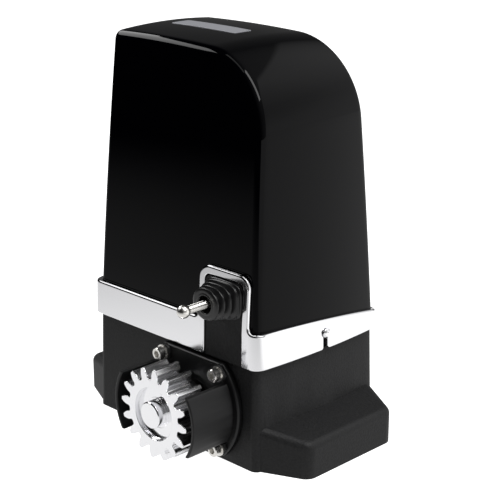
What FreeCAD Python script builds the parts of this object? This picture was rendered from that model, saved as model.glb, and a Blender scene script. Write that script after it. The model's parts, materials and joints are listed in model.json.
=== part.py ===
"""Sliding gate motor: a die-cast base with two feet, a lift-off plastic cover with a chrome trim band,
a worm gearbox that drives a module 4 pinion under a guard, and a spring limit switch beside it.

Millimetres. The origin is the centre of the base on the ground, +Z is up, the gate's rack runs along X
in front of the -Y face, and the pinion's axis runs along Y.
"""
import FreeCAD, Part
import math
import os

from FreeCAD import Vector

os.makedirs("parts", exist_ok=True)

X_AXIS = Vector(1, 0, 0)
Y_AXIS = Vector(0, 1, 0)
Z_AXIS = Vector(0, 0, 1)

# ---------------------------------------------------------------- driving dimensions
# Base casting
BASE_HALF_X = 91.0            # half width over the end walls, at the ground
BASE_HALF_Y = 67.3            # half depth over the front and back walls, at the ground
DRAFT = 0.022                 # the walls lean in by this much per millimetre of height
END_BOW = 3.8                 # the end walls bulge outwards by this much in plan
BASE_CORNER_R = 6.2
STEP_Z = 82.0                 # height of the visible wall, where the trim band begins
RIM_INSET = 3.4               # the cover's skirt drops over a rim this far inside the wall
RIM_TOP_Z = 92.0
WALL_X = 9.4                  # end walls, at the ground
WALL_Y = 9.7                  # front and back walls
CAVITY_HALF_X = BASE_HALF_X - WALL_X
CAVITY_HALF_Y = BASE_HALF_Y - WALL_Y
CAVITY_CORNER_R = 5.0
FLOOR = 5.0

# Feet
FOOT_REACH = 35.5             # how far a foot stands out of the end wall
FOOT_OUT_X = BASE_HALF_X + FOOT_REACH
FOOT_ROOT_HALF_Y = BASE_HALF_Y - 4.3     # half length where a foot meets the wall
FOOT_TIP_HALF_Y = BASE_HALF_Y - 20.3     # half length at its outer end
FOOT_ROOT_Z = 34.0            # height of its sloping top at the wall
FOOT_TIP_Z = 28.0             # and at its outer end
FOOT_CORNER_R = 10.0
FOOT_EDGE_R = 6.0
FOOT_WALL = 5.0
FOOT_BURY = 6.0               # a foot's body runs this far into the wall

# Anchor slots in the floor
ANCHOR_SPACING_X = 2 * (CAVITY_HALF_X - 9.6)
ANCHOR_SPACING_Y = 2 * (CAVITY_HALF_Y - 15.6)
ANCHOR_SLOT_W = 9.0
ANCHOR_SLOT_L = 14.0

# Cover
COVER_MID_Y = 0.6
COVER_WALL = 3.0
COVER_BOTTOM_Z = STEP_Z + 0.4
COVER_EDGE_R = 5.5
CROWN = 2.5                   # rise of the top, and bulge of the ends, between the edges
CROWN_HALF_Y = 50.0           # the crown is nil this far from the middle
COVER_SIDE_X = BASE_HALF_X - 1.0         # half width at SIDE_REF_Z
SIDE_REF_Z = 113.0
SIDE_LEAN = 0.0455            # the ends lean in by this much per millimetre of height
TOP_PEAK_X = -40.0
TOP_PEAK_Z = 310.3
SHOULDER_R = 62.0             # large round between the top and the +X end
SHOULDER_Z = TOP_PEAK_Z - SHOULDER_R - 1.1
HEEL_R = 6.6                  # small round between the top and the -X end
HEEL_Z = TOP_PEAK_Z - HEEL_R - 0.7
SKIRT_HALF_Y = BASE_HALF_Y - 0.6         # half depth of the cover at STEP_Z,
WAIST_HALF_Y = BASE_HALF_Y - 8.0         # half way up,
CREST_HALF_Y = BASE_HALF_Y - 16.5        # and just below the top
WAIST_Z = TOP_PEAK_Z - 105.3
CREST_Z = TOP_PEAK_Z - 6.3

# Trim band round the foot of the cover, with an arch round the limit switch's window
BAND_PROUD = 4.25             # stands this far out of the base wall
BAND_CORNER_R = BASE_CORNER_R + 4.2
BAND_FRONT_Z = 109.6          # top edge at the front face,
BAND_MIDDLE_Z = 105.9         # at the middle of the ends
BAND_BACK_Z = 95.2            # and at the back face
WINDOW_X = BASE_HALF_X - 33.3            # middle of the window
WINDOW_HALF_X = 19.9
WINDOW_X0 = WINDOW_X - WINDOW_HALF_X
WINDOW_X1 = WINDOW_X + WINDOW_HALF_X
WINDOW_TOP_Z = 145.4
WINDOW_R = 4.5
ARCH_W = 6.4                  # width of the arch's strip
ARCH_R = 11.0
ARCH_PROUD = 4.4
WEB_R = 5.0                   # round where the arch meets the band

# Tongue of the base that fills the window below the bellows
TONGUE_GAP = 0.8
TONGUE_FRONT_Y = -BASE_HALF_Y - 1.3
TONGUE_LEAN = 0.027
TONGUE_T = 4.6

# Pinion and output shaft
AXIS_X, AXIS_Z = 27.2, 42.3   # output axis
MODULE = 4.0
PINION_TEETH = 16
PINION_WIDTH = 24.0
PINION_FRONT_Y = -BASE_HALF_Y - 44.4
PINION_PHASE = 86.05          # direction of one tooth, degrees from +X towards +Z
PINION_RECESS_R = 20.6
PINION_RECESS_DEPTH = 4.5
PINION_HUB_R = 19.0
PINION_HUB_BACK_Y = -BASE_HALF_Y - 8.2
PINION_ROOT_ROUND = 1.2
PINION_TIP_ROUND = 0.5
SHAFT_R = 12.0
SHAFT_NOSE_R = 10.4           # the end that stands in the pinion's recess
SHAFT_END_Y = PINION_FRONT_Y - 3.6
SHAFT_CHAMFER = 0.8

# Guard
GUARD_R = 49.5
GUARD_FLAT = 37.5             # the round plate is cut flat this far above and below the axis
GUARD_T = 4.0
GUARD_BACK_Y = -BASE_HALF_Y - 0.2
WING_R = 44.2
WING_T = 2.8
WING_HALF_Z = 23.4
GUARD_SCREW_OFFSET = 30.4     # of each screw from the axis, along X and along Z
GUARD_BOSS_R = 7.0
GUARD_BOSS_H = 2.0

# Worm drive
WORM_MODULE = 2.0
WHEEL_TEETH = 30
WORM_PITCH_R = 9.0
WHEEL_WIDTH = 18.0
WHEEL_MID_Y = -4.0
WORM_LENGTH = 36.0
MESH_BACKLASH = 0.45          # taken half from the thread and half from the wheel's teeth

# Gear case
CASE_WALL = 4.0
CASE_FRONT_Y = -CAVITY_HALF_Y + 0.6
CASE_BACK_Y = 12.0
CASE_TOP_Z = RIM_TOP_Z

# Rolling bearings: bore radius, outer radius, width
BEARING_6205 = (12.5, 26.0, 15.0)
BEARING_6204 = (10.0, 23.5, 14.0)
BEARING_6203 = (8.5, 20.0, 12.0)
BEARING_6201 = (6.0, 16.0, 10.0)

RUNNING = 0.04                # radial running clearance of a shaft in its bearing
GAP = 0.3                     # gap between faces of two pieces that move past each other

# Motor
CHASSIS_T = 2.0
MOTOR_R = 43.0
MOTOR_BORE_R = MOTOR_R - 16.0
MOTOR_AIR_GAP = 0.4
FLANGE_H = 14.0
STACK_H = 52.0
END_BELL_H = 26.0
MOTOR_WALL = 3.0
TIE_BOLT_RING_R = MOTOR_R - 4.4

# Limit switch
LIMIT_X = WINDOW_X
LIMIT_Z = 130.5
LIMIT_PIVOT_Y = -BASE_HALF_Y + 16.3
LIMIT_ROD_R = 3.3
LIMIT_BALL_R = 5.0
BELLOWS_FRONT_Y = TONGUE_FRONT_Y - 18.4
LIMIT_BALL_Y = BELLOWS_FRONT_Y - 20.3
BELLOWS_FRONT_HALF_X = 13.2
BELLOWS_FRONT_HALF_Z = 12.2
BELLOWS_HOLE_R = 7.0
BELLOWS_PLEATS = 4
BELLOWS_PITCH = 4.9

# Cutting bodies reach this far, past every surface that they cut
FAR = 130.0
WINDOW_CUT_Y = -40.0          # a cut through the front walls ends here

# Release lever on the back
LEVER_PIVOT_X = 44.0
LEVER_LENGTH = 84.0
LEVER_H = 16.0
LEVER_T = 10.0
LEVER_GAP = 1.6               # between the wall and the lever
LEVER_PIN_R = 3.0
RELEASE_ROD_R = 4.0

WORM_X = AXIS_X - WORM_PITCH_R - WORM_MODULE * WHEEL_TEETH / 2
CHASSIS_TOP_Z = CASE_TOP_Z + CHASSIS_T


# ---------------------------------------------------------------- small helpers
def cylinder(radius, length, x, y, z, axis=Z_AXIS):
    return Part.makeCylinder(radius, length, Vector(x, y, z), axis)


def ring(outer, inner, length, x, y, z, axis=Z_AXIS):
    return cylinder(outer, length, x, y, z, axis).cut(cylinder(inner, length, x, y, z, axis))


def box(x0, y0, z0, x1, y1, z1):
    return Part.makeBox(x1 - x0, y1 - y0, z1 - z0, Vector(x0, y0, z0))


def join(first, *others):
    return first.multiFuse(list(others)).removeSplitter()


def less(shape, *tools):
    return shape.cut(list(tools)).removeSplitter()


def polygon(points):
    return Part.Face(Part.makePolygon([Vector(*p) for p in points] + [Vector(*points[0])]))


def arc(start, middle, end):
    return Part.Arc(Vector(*start), Vector(*middle), Vector(*end)).toShape()


def segment(start, end):
    return Part.makeLine(Vector(*start), Vector(*end))


def edges_along(shape, direction, where):
    """Straight edges parallel to a direction whose midpoint passes the test."""
    found = []
    for edge in shape.Edges:
        span = edge.Vertexes[-1].Point.sub(edge.Vertexes[0].Point)
        if span.Length > 1e-6 and span.getAngle(direction) % math.pi < 0.08 or (
                span.Length > 1e-6 and math.pi - span.getAngle(direction) < 0.08):
            if where(edge.CenterOfMass):
                found.append(edge)
    return found


def slab(x0, z0, x1, z1, radius, y0, y1):
    """A plate in the X-Z plane with its four corners rounded, from y0 to y1."""
    plate = box(x0, y0, z0, x1, y1, z1)
    return plate.makeFillet(radius, edges_along(plate, Y_AXIS, lambda point: True))


def upright(x0, y0, x1, y1, radius, z0, z1):
    """A plate in the X-Y plane with its four corners rounded, from z0 to z1."""
    plate = box(x0, y0, z0, x1, y1, z1)
    return plate.makeFillet(radius, edges_along(plate, Z_AXIS, lambda point: True))


def chamfered_bearing(size, x, y, z, axis):
    """A sealed ball bearing: two races, and shields set a little below their faces."""
    bore, outer, width = size
    body = ring(outer, bore, width, x, y, z, axis)
    recess = 0.6
    land = (outer - bore) * 0.28
    start = Vector(x, y, z)
    for offset in (0.0, width - recess):
        at = start.add(Vector(axis).multiply(offset))
        body = body.cut(ring(outer - land, bore + land, recess, at.x, at.y, at.z, axis))
    return body


# ---------------------------------------------------------------- base outline
def bowed_wire(half_x, half_y, bow, z):
    corner = [(-half_x, -half_y, z), (half_x, -half_y, z), (half_x, half_y, z), (-half_x, half_y, z)]
    return Part.Wire([
        segment(corner[0], corner[1]),
        arc(corner[1], (half_x + bow, 0, z), corner[2]),
        segment(corner[2], corner[3]),
        arc(corner[3], (-half_x - bow, 0, z), corner[0]),
    ])


def base_prism(z0, z1, offset, corner_r):
    """The base's drafted outline, grown by offset, between two heights."""
    wires = [
        bowed_wire(BASE_HALF_X - DRAFT * z + offset, BASE_HALF_Y - DRAFT * z + offset, END_BOW, z)
        for z in (z0, z1)
    ]
    block = Part.makeLoft(wires, True, True)
    corners = [
        edge for edge in block.Edges
        if abs(edge.Vertexes[0].Z - edge.Vertexes[-1].Z) > 0.5 * (z1 - z0)
    ]
    return block.makeFillet(corner_r, corners)


def wall_y(z):
    return BASE_HALF_Y - DRAFT * z


# ---------------------------------------------------------------- cover outline
def cover_elevation(grow, y):
    """Outline of the cover seen from the front, in the plane at y, grown by an amount."""
    lean = math.atan(SIDE_LEAN)
    side = (math.cos(lean), math.sin(lean))
    foot_x = COVER_SIDE_X + SIDE_LEAN * (SIDE_REF_Z - STEP_Z)
    shoulder_x = COVER_SIDE_X - SIDE_LEAN * (SHOULDER_Z - SIDE_REF_Z) - SHOULDER_R / side[0]
    heel_x = -(COVER_SIDE_X - SIDE_LEAN * (HEEL_Z - SIDE_REF_Z) - HEEL_R / side[0])

    def round_point(centre_x, centre_z, radius, normal_x, normal_z):
        length = math.hypot(normal_x, normal_z)
        reach = (radius + grow) / length
        return (centre_x + reach * normal_x, y, centre_z + reach * normal_z)

    foot_left = (-foot_x - grow, y, STEP_Z)
    heel_start = round_point(heel_x, HEEL_Z, HEEL_R, -side[0], side[1])
    heel_mid = round_point(heel_x, HEEL_Z, HEEL_R, -1, 1)
    heel_end = round_point(heel_x, HEEL_Z, HEEL_R, -0.014, 1)
    peak = (TOP_PEAK_X, y, TOP_PEAK_Z + grow)
    shoulder_start = round_point(shoulder_x, SHOULDER_Z, SHOULDER_R, 0.035, 1)
    shoulder_mid = round_point(shoulder_x, SHOULDER_Z, SHOULDER_R, 1, 1)
    shoulder_end = round_point(shoulder_x, SHOULDER_Z, SHOULDER_R, side[0], side[1])
    foot_right = (foot_x + grow, y, STEP_Z)
    return Part.Wire([
        segment(foot_left, heel_start),
        arc(heel_start, heel_mid, heel_end),
        arc(heel_end, peak, shoulder_start),
        arc(shoulder_start, shoulder_mid, shoulder_end),
        segment(shoulder_end, foot_right),
        segment(foot_right, foot_left),
    ])


def cover_block(grow, rounded):
    """The cover as a full body: a crowned elevation cut to the leaning front and back faces."""
    sections = []
    reach = BASE_HALF_Y + 4.7
    for y in (-reach, 0.0, reach):
        crown = CROWN * (1 - (y / CROWN_HALF_Y) ** 2)
        sections.append(cover_elevation(grow + crown, COVER_MID_Y + y))
    body = Part.makeLoft(sections, True, False)
    above = TOP_PEAK_Z + 20.0

    def face_line(sign):
        return [
            (0, COVER_MID_Y + sign * (half + grow), z)
            for half, z in ((SKIRT_HALF_Y, STEP_Z), (WAIST_HALF_Y, WAIST_Z), (CREST_HALF_Y, CREST_Z))
        ]

    front, back = face_line(-1), face_line(1)
    front_top = (0, front[2][1] + 2.4, above)
    back_top = (0, back[2][1] - 2.4, above)
    outline = Part.Wire([
        arc(*front),
        segment(front[2], front_top),
        segment(front_top, back_top),
        segment(back_top, back[2]),
        arc(back[2], back[1], back[0]),
        segment(back[0], front[0]),
    ])
    sides = Part.Face(outline).extrude(Vector(2 * FAR, 0, 0))
    sides.translate(Vector(-FAR, 0, 0))
    block = body.common(sides).removeSplitter()
    if not rounded:
        return block

    def is_side(face):
        return abs(face.normalAt(*face.Surface.parameter(face.CenterOfMass)).y) > 0.9

    side_faces = [face for face in block.Faces if is_side(face)]
    rim = []
    for face in side_faces:
        for edge in face.Edges:
            shared = sum(1 for other in side_faces if any(e.isSame(edge) for e in other.Edges))
            lowest = max(vertex.Z for vertex in edge.Vertexes) < STEP_Z + 1
            if shared == 1 and not lowest:
                rim.append(edge)
    return block.makeFillet(COVER_EDGE_R, rim)


def window_cutter(margin, y0, y1):
    """The window for the limit switch, open at the bottom, grown by a margin."""
    return slab(
        WINDOW_X0 - margin, STEP_Z - 30, WINDOW_X1 + margin, WINDOW_TOP_Z + margin, WINDOW_R + margin, y0, y1)


SLOT_Y = COVER_MID_Y + 0.9
SLOT_W = 4.8
SLOT_MOUTH_R = 2.4
COVER_SCREW_Z = 95.0


def end_slots():
    """Two U slots, open at the bottom, through the band and the skirt at the middle of each end."""
    half = SLOT_W / 2
    slot = join(
        box(-FAR, SLOT_Y - half, STEP_Z - 1, FAR, SLOT_Y + half, COVER_SCREW_Z),
        cylinder(half, 2 * FAR, -FAR, SLOT_Y, COVER_SCREW_Z, X_AXIS),
    )
    flare = half + SLOT_MOUTH_R
    mouth = box(-FAR, SLOT_Y - flare, STEP_Z - 1, FAR, SLOT_Y + flare, STEP_Z + SLOT_MOUTH_R)
    for sign in (-1, 1):
        mouth = mouth.cut(cylinder(
            SLOT_MOUTH_R, 2 * FAR, -FAR, SLOT_Y + sign * flare, STEP_Z + SLOT_MOUTH_R, X_AXIS))
    return join(slot, mouth)


# ---------------------------------------------------------------- cover and trim band
def make_cover_shell():
    outer = cover_block(0.0, True)
    inner = cover_block(-COVER_WALL, False)
    below = box(-FAR, -FAR, STEP_Z - 5, FAR, FAR, COVER_BOTTOM_Z)
    inner_low = cover_block(-COVER_WALL, False)
    inner_low.translate(Vector(0, 0, -4))
    keep = box(-FAR, -FAR, STEP_Z - 5, FAR, FAR, STEP_Z + 6)
    shell = outer.cut([inner, inner_low.common(keep), below])
    return less(shell, window_cutter(0.0, -FAR, WINDOW_CUT_Y), end_slots())


def make_trim_band():
    band = base_prism(STEP_Z, BAND_FRONT_Z + 1, BAND_PROUD, BAND_CORNER_R)
    reach = BASE_HALF_Y + BAND_PROUD
    top_edge = Part.Wire([
        arc((0, -reach, BAND_FRONT_Z), (0, 0, BAND_MIDDLE_Z), (0, reach, BAND_BACK_Z)),
        segment((0, reach, BAND_BACK_Z), (0, reach + 9, BAND_BACK_Z - 1)),
        segment((0, reach + 9, BAND_BACK_Z - 1), (0, reach + 9, STEP_Z - 9)),
        segment((0, reach + 9, STEP_Z - 9), (0, -reach - 9, STEP_Z - 9)),
        segment((0, -reach - 9, STEP_Z - 9), (0, -reach - 9, BAND_FRONT_Z)),
        segment((0, -reach - 9, BAND_FRONT_Z), (0, -reach, BAND_FRONT_Z)),
    ])
    below_edge = Part.Face(top_edge).extrude(Vector(2 * FAR, 0, 0))
    below_edge.translate(Vector(-FAR, 0, 0))
    band = band.common(below_edge)

    arch_x0, arch_x1 = WINDOW_X0 - ARCH_W, WINDOW_X1 + ARCH_W
    arch_plan = slab(arch_x0, STEP_Z, arch_x1, WINDOW_TOP_Z + ARCH_W, ARCH_R, -FAR, WINDOW_CUT_Y)
    webs = []
    for edge_x, sign in ((arch_x0, -1), (arch_x1, 1)):
        web = box(min(edge_x, edge_x + sign * WEB_R), -90, BAND_FRONT_Z - 2,
                  max(edge_x, edge_x + sign * WEB_R), -40, BAND_FRONT_Z + WEB_R)
        webs.append(web.cut(cylinder(
            WEB_R, 60, edge_x + sign * WEB_R, -95, BAND_FRONT_Z + WEB_R, Y_AXIS)))
    arch = join(arch_plan, *webs).common(cover_block(ARCH_PROUD, False))
    arch = arch.common(box(-FAR, -FAR, BAND_FRONT_Z - 12, FAR, 0, TOP_PEAK_Z))
    trim = join(band, arch)
    return less(trim, cover_block(0.0, True), window_cutter(0.0, -FAR, WINDOW_CUT_Y), end_slots())


# ---------------------------------------------------------------- base housing
def foot_block(sign, inset):
    """One foot, as a full body or as its core, with a sloping top and rounded edges."""
    root_x = BASE_HALF_X - FOOT_BURY
    reach = FOOT_OUT_X - BASE_HALF_X
    taper = (FOOT_ROOT_HALF_Y - FOOT_TIP_HALF_Y) / reach
    root_half = FOOT_ROOT_HALF_Y - inset + taper * (BASE_HALF_X - root_x)
    tip_x = FOOT_OUT_X - inset
    tip_half = FOOT_TIP_HALF_Y - inset + taper * inset
    plan = polygon([
        (root_x, -root_half, 0), (tip_x, -tip_half, 0), (tip_x, tip_half, 0), (root_x, root_half, 0)])
    block = plan.extrude(Vector(0, 0, FOOT_ROOT_Z + 10))
    slope = (FOOT_ROOT_Z - FOOT_TIP_Z) / reach
    roof_root = FOOT_ROOT_Z - inset + slope * (BASE_HALF_X - root_x)
    roof_tip = FOOT_TIP_Z - inset - slope * (tip_x - FOOT_OUT_X)
    roof = polygon([
        (root_x, -90, -1), (tip_x + 5, -90, -1),
        (tip_x + 5, -90, roof_tip - slope * 5), (root_x, -90, roof_root),
    ]).extrude(Vector(0, 180, 0))
    block = block.common(roof)
    block = block.makeFillet(
        max(FOOT_CORNER_R - inset, 2.0),
        edges_along(block, Z_AXIS, lambda point: point.x > root_x + 2))
    if inset == 0:
        top_edges = [
            edge for edge in block.Edges
            if min(vertex.Z for vertex in edge.Vertexes) > 0.5 * FOOT_TIP_Z
            and max(vertex.X for vertex in edge.Vertexes) > root_x + 2
        ]
        block = block.makeFillet(FOOT_EDGE_R, top_edges)
    if sign < 0:
        block = block.mirror(Vector(0, 0, 0), X_AXIS)
    return block


def anchor_slots(z0, z1):
    slots = []
    straight = (ANCHOR_SLOT_L - ANCHOR_SLOT_W) / 2
    for sx in (-1, 1):
        for sy in (-1, 1):
            x, y = sx * ANCHOR_SPACING_X / 2, sy * ANCHOR_SPACING_Y / 2
            middle = box(
                x - straight, y - ANCHOR_SLOT_W / 2, z0, x + straight, y + ANCHOR_SLOT_W / 2, z1)
            ends = [cylinder(ANCHOR_SLOT_W / 2, z1 - z0, x + side * straight, y, z0) for side in (-1, 1)]
            slots.append(join(middle, *ends))
    return slots


CHASSIS_SCREW_R = 2.5
POST_R = 5.5
POST_BURY = 0.4               # the posts run this far into the cavity's walls
CHASSIS_POSTS = [
    (sx * (CAVITY_HALF_X - POST_R + POST_BURY), sy * (CAVITY_HALF_Y - POST_R + POST_BURY))
    for sx in (-1, 1) for sy in (-1, 1)]
CABLE_ROOM = CAVITY_HALF_X + WORM_X - 24.0      # between the cavity's wall and the gear case
CABLE_X = WORM_X - 20.3 - CABLE_ROOM / 2
CABLE_Y = CAVITY_HALF_Y - 43.6
CABLE_HOLE_R = CABLE_ROOM / 2 - 3.9
SEAL_R = 20.0
SEAL_W = 7.0
GUARD_SCREWS = [
    (AXIS_X + sx * GUARD_SCREW_OFFSET, AXIS_Z + sz * GUARD_SCREW_OFFSET) for sx in (-1, 1) for sz in (-1, 1)]
GUARD_SCREW_R = 3.0
GUARD_SCREW_END_Y = GUARD_BACK_Y + 8.0
LUG_HALF_Y = 8.0
LUG_TOP_Z = COVER_SCREW_Z + 6.0
LEVER_EAR_T = 4.0
LEVER_Y = wall_y(AXIS_Z) + LEVER_GAP + LEVER_T / 2
EAR_R = 6.0
LIMIT_SLOT_HALF_X = 13.0
LIMIT_SLOT_HALF_Z = 5.0


def tongue():
    """The upright pad of the base that fills the cover's window below and behind the bellows."""
    x0, x1 = WINDOW_X0 + TONGUE_GAP, WINDOW_X1 - TONGUE_GAP
    top = WINDOW_TOP_Z - TONGUE_GAP
    front_top = TONGUE_FRONT_Y + TONGUE_LEAN * (top - STEP_Z)
    rim_y = -(wall_y(STEP_Z) - RIM_INSET)
    profile = polygon([
        (x0, TONGUE_FRONT_Y, STEP_Z), (x0, front_top, top), (x0, front_top + TONGUE_T, top),
        (x0, rim_y, RIM_TOP_Z + 2), (x0, rim_y + 3, RIM_TOP_Z), (x0, rim_y + 3, STEP_Z),
    ])
    pad = profile.extrude(Vector(x1 - x0, 0, 0))
    pad = pad.common(slab(x0, STEP_Z - 20, x1, top, WINDOW_R, -FAR, WINDOW_CUT_Y))
    hole = slab(
        LIMIT_X - LIMIT_SLOT_HALF_X, LIMIT_Z - LIMIT_SLOT_HALF_Z,
        LIMIT_X + LIMIT_SLOT_HALF_X, LIMIT_Z + LIMIT_SLOT_HALF_Z, LIMIT_SLOT_HALF_Z - 0.5, -FAR, WINDOW_CUT_Y)
    return pad.cut(hole)


def make_base_housing():
    wall = base_prism(0, STEP_Z, 0.0, BASE_CORNER_R)
    rim = base_prism(STEP_Z - 1, RIM_TOP_Z, -RIM_INSET, BASE_CORNER_R - 1.5)
    lugs = base_prism(STEP_Z, LUG_TOP_Z, -RIM_INSET, BASE_CORNER_R - 1.5).common(
        box(-FAR, SLOT_Y - LUG_HALF_Y, STEP_Z, FAR, SLOT_Y + LUG_HALF_Y, LUG_TOP_Z))
    feet = [foot_block(sign, 0.0) for sign in (-1, 1)]
    pad = cylinder(GUARD_R - 2, 12, AXIS_X, GUARD_BACK_Y, AXIS_Z, Y_AXIS).common(
        box(-FAR, -FAR, AXIS_Z - GUARD_FLAT + 2, FAR, 0, AXIS_Z + GUARD_FLAT - 2))
    body = join(wall, rim, lugs, pad, *feet)

    cavity = upright(
        -CAVITY_HALF_X, -CAVITY_HALF_Y, CAVITY_HALF_X, CAVITY_HALF_Y, CAVITY_CORNER_R, FLOOR, LUG_TOP_Z + 5)
    body = body.cut(cavity)
    posts = [cylinder(POST_R, RIM_TOP_Z - FLOOR + 1, x, y, FLOOR - 1) for x, y in CHASSIS_POSTS]
    ear_z = LEVER_H / 2 + GAP
    ears = []
    for z in (AXIS_Z + ear_z, AXIS_Z - ear_z - LEVER_EAR_T):
        ears.append(join(
            cylinder(EAR_R, LEVER_EAR_T, LEVER_PIVOT_X, LEVER_Y, z),
            box(LEVER_PIVOT_X - EAR_R, BASE_HALF_Y - 4, z, LEVER_PIVOT_X + EAR_R, LEVER_Y, z + LEVER_EAR_T)))
    body = join(body, tongue(), *posts, *ears)

    cutters = [foot_block(sign, FOOT_WALL).common(outside_walls(sign)) for sign in (-1, 1)]
    cutters += anchor_slots(-1, FLOOR + 1)
    cutters += [cylinder(CHASSIS_SCREW_R, 16, x, y, RIM_TOP_Z - 15) for x, y in CHASSIS_POSTS]
    cutters += [
        cylinder(GUARD_SCREW_R, 30, x, GUARD_SCREW_END_Y - 30, z, Y_AXIS) for x, z in GUARD_SCREWS]
    cutters.append(cylinder(SEAL_R, SEAL_W, AXIS_X, CASE_FRONT_Y - SEAL_W - 1, AXIS_Z, Y_AXIS))
    cutters.append(cylinder(SHAFT_R + 3, 60, AXIS_X, -90, AXIS_Z, Y_AXIS))
    cutters.append(cylinder(CABLE_HOLE_R, 20, CABLE_X, CABLE_Y, -5))
    cutters.append(cylinder(RELEASE_ROD_R + RUNNING, 30, AXIS_X, CAVITY_HALF_Y - 5, AXIS_Z, Y_AXIS))
    cutters.append(cylinder(LEVER_PIN_R, 60, LEVER_PIVOT_X, LEVER_Y, AXIS_Z - 30))
    cutters.append(cylinder(2.0, 2 * FAR, -FAR, SLOT_Y, COVER_SCREW_Z, X_AXIS))
    return less(body, *cutters)


def outside_walls(sign):
    """Space beyond the end wall, where a foot is cored out from below."""
    near = BASE_HALF_X - 3
    return box(near, -80, -1, 140, 80, 60) if sign > 0 else box(-140, -80, -1, -near, 80, 60)


def make_cable_grommet():
    rim = 2.0
    body = join(
        cylinder(CABLE_HOLE_R, FLOOR, CABLE_X, CABLE_Y, 0),
        cylinder(CABLE_HOLE_R + 3, rim, CABLE_X, CABLE_Y, FLOOR))
    return body.cut(cylinder(CABLE_HOLE_R - 4, 20, CABLE_X, CABLE_Y, -5))


# ---------------------------------------------------------------- gear teeth
def involute_outline(module, teeth, thinning, y, turn):
    """Closed outline of a 20 degree involute gear about the origin, in the plane at y."""
    pitch_r = module * teeth / 2
    base_r = pitch_r * math.cos(math.radians(20))
    tip_r = pitch_r + module
    root_r = pitch_r - 1.25 * module

    def roll(radius):
        angle = math.acos(min(1.0, base_r / radius))
        return math.tan(angle) - angle

    half_pitch_angle = math.pi / (2 * teeth) - thinning / (2 * pitch_r)
    start_r = max(base_r, root_r)

    def flank(radius, side, centre):
        angle = centre + side * (half_pitch_angle + roll(pitch_r) - roll(max(radius, base_r)))
        return (radius * math.cos(angle), y, radius * math.sin(angle))

    def on_circle(radius, angle):
        return (radius * math.cos(angle), y, radius * math.sin(angle))

    edges = []
    step = 2 * math.pi / teeth
    middle_r = (start_r + tip_r) / 2
    for index in range(teeth):
        centre = turn + index * step
        low, mid, high = (flank(radius, -1, centre) for radius in (start_r, middle_r, tip_r))
        high2, mid2, low2 = (flank(radius, 1, centre) for radius in (tip_r, middle_r, start_r))
        root_in = flank(root_r, -1, centre)
        root_out = flank(root_r, 1, centre)
        next_root = flank(root_r, -1, centre + step)
        if base_r > root_r:
            edges.append(segment(root_in, low))
        edges.append(arc(low, mid, high))
        edges.append(arc(high, on_circle(tip_r, centre), high2))
        edges.append(arc(high2, mid2, low2))
        if base_r > root_r:
            edges.append(segment(low2, root_out))
        edges.append(arc(root_out, on_circle(root_r, centre + step / 2), next_root))
    return Part.Wire(edges)


def make_pinion():
    outline = involute_outline(MODULE, PINION_TEETH, 0.3, 0.0, math.radians(PINION_PHASE))
    teeth = Part.Face(outline).extrude(Vector(0, PINION_WIDTH, 0))
    tip_r = MODULE * (PINION_TEETH / 2 + 1)
    root_r = MODULE * (PINION_TEETH / 2 - 1.25)
    for radius, rounding in ((root_r, PINION_ROOT_ROUND), (tip_r, PINION_TIP_ROUND)):
        corners = [
            edge for edge in edges_along(teeth, Y_AXIS, lambda point: True)
            if abs(math.hypot(edge.CenterOfMass.x, edge.CenterOfMass.z) - radius) < 0.01]
        teeth = teeth.makeFillet(rounding, corners)
    teeth.translate(Vector(AXIS_X, PINION_FRONT_Y, AXIS_Z))
    back = PINION_FRONT_Y + PINION_WIDTH
    hub = cylinder(PINION_HUB_R, PINION_HUB_BACK_Y - back, AXIS_X, back, AXIS_Z, Y_AXIS)
    body = join(teeth, hub)
    recess = cylinder(
        PINION_RECESS_R, PINION_RECESS_DEPTH + 1, AXIS_X, PINION_FRONT_Y - 1, AXIS_Z, Y_AXIS)
    bore = cylinder(SHAFT_R, 80, AXIS_X, PINION_FRONT_Y - 5, AXIS_Z, Y_AXIS)
    return less(body, recess, bore, pinion_key_body())


KEY_W, KEY_H = 8.0, 7.0
PINION_KEY_Y0 = PINION_FRONT_Y + 7.7
PINION_KEY_Y1 = PINION_HUB_BACK_Y - 4.5
WHEEL_SEAT_R = 14.0
WHEEL_KEY_Y0, WHEEL_KEY_Y1 = -12.0, 4.0


def pinion_key_body():
    return box(
        AXIS_X - KEY_W / 2, PINION_KEY_Y0, AXIS_Z + SHAFT_R - KEY_H / 2,
        AXIS_X + KEY_W / 2, PINION_KEY_Y1, AXIS_Z + SHAFT_R + KEY_H / 2)


def wheel_key_body():
    return box(
        AXIS_X - KEY_W / 2, WHEEL_KEY_Y0, AXIS_Z + WHEEL_SEAT_R - KEY_H / 2,
        AXIS_X + KEY_W / 2, WHEEL_KEY_Y1, AXIS_Z + WHEEL_SEAT_R + KEY_H / 2)


FRONT_BEARING_Y = CASE_FRONT_Y
REAR_BEARING_Y = CASE_BACK_Y + 1.0
CIRCLIP_Y = PINION_HUB_BACK_Y
WHEEL_BACK_Y = WHEEL_MID_Y + WHEEL_WIDTH / 2
WHEEL_FRONT_Y = WHEEL_MID_Y - WHEEL_WIDTH / 2
COLLAR_R = 17.0
REAR_JOURNAL_END_Y = REAR_BEARING_Y + BEARING_6204[2] - 1


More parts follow.
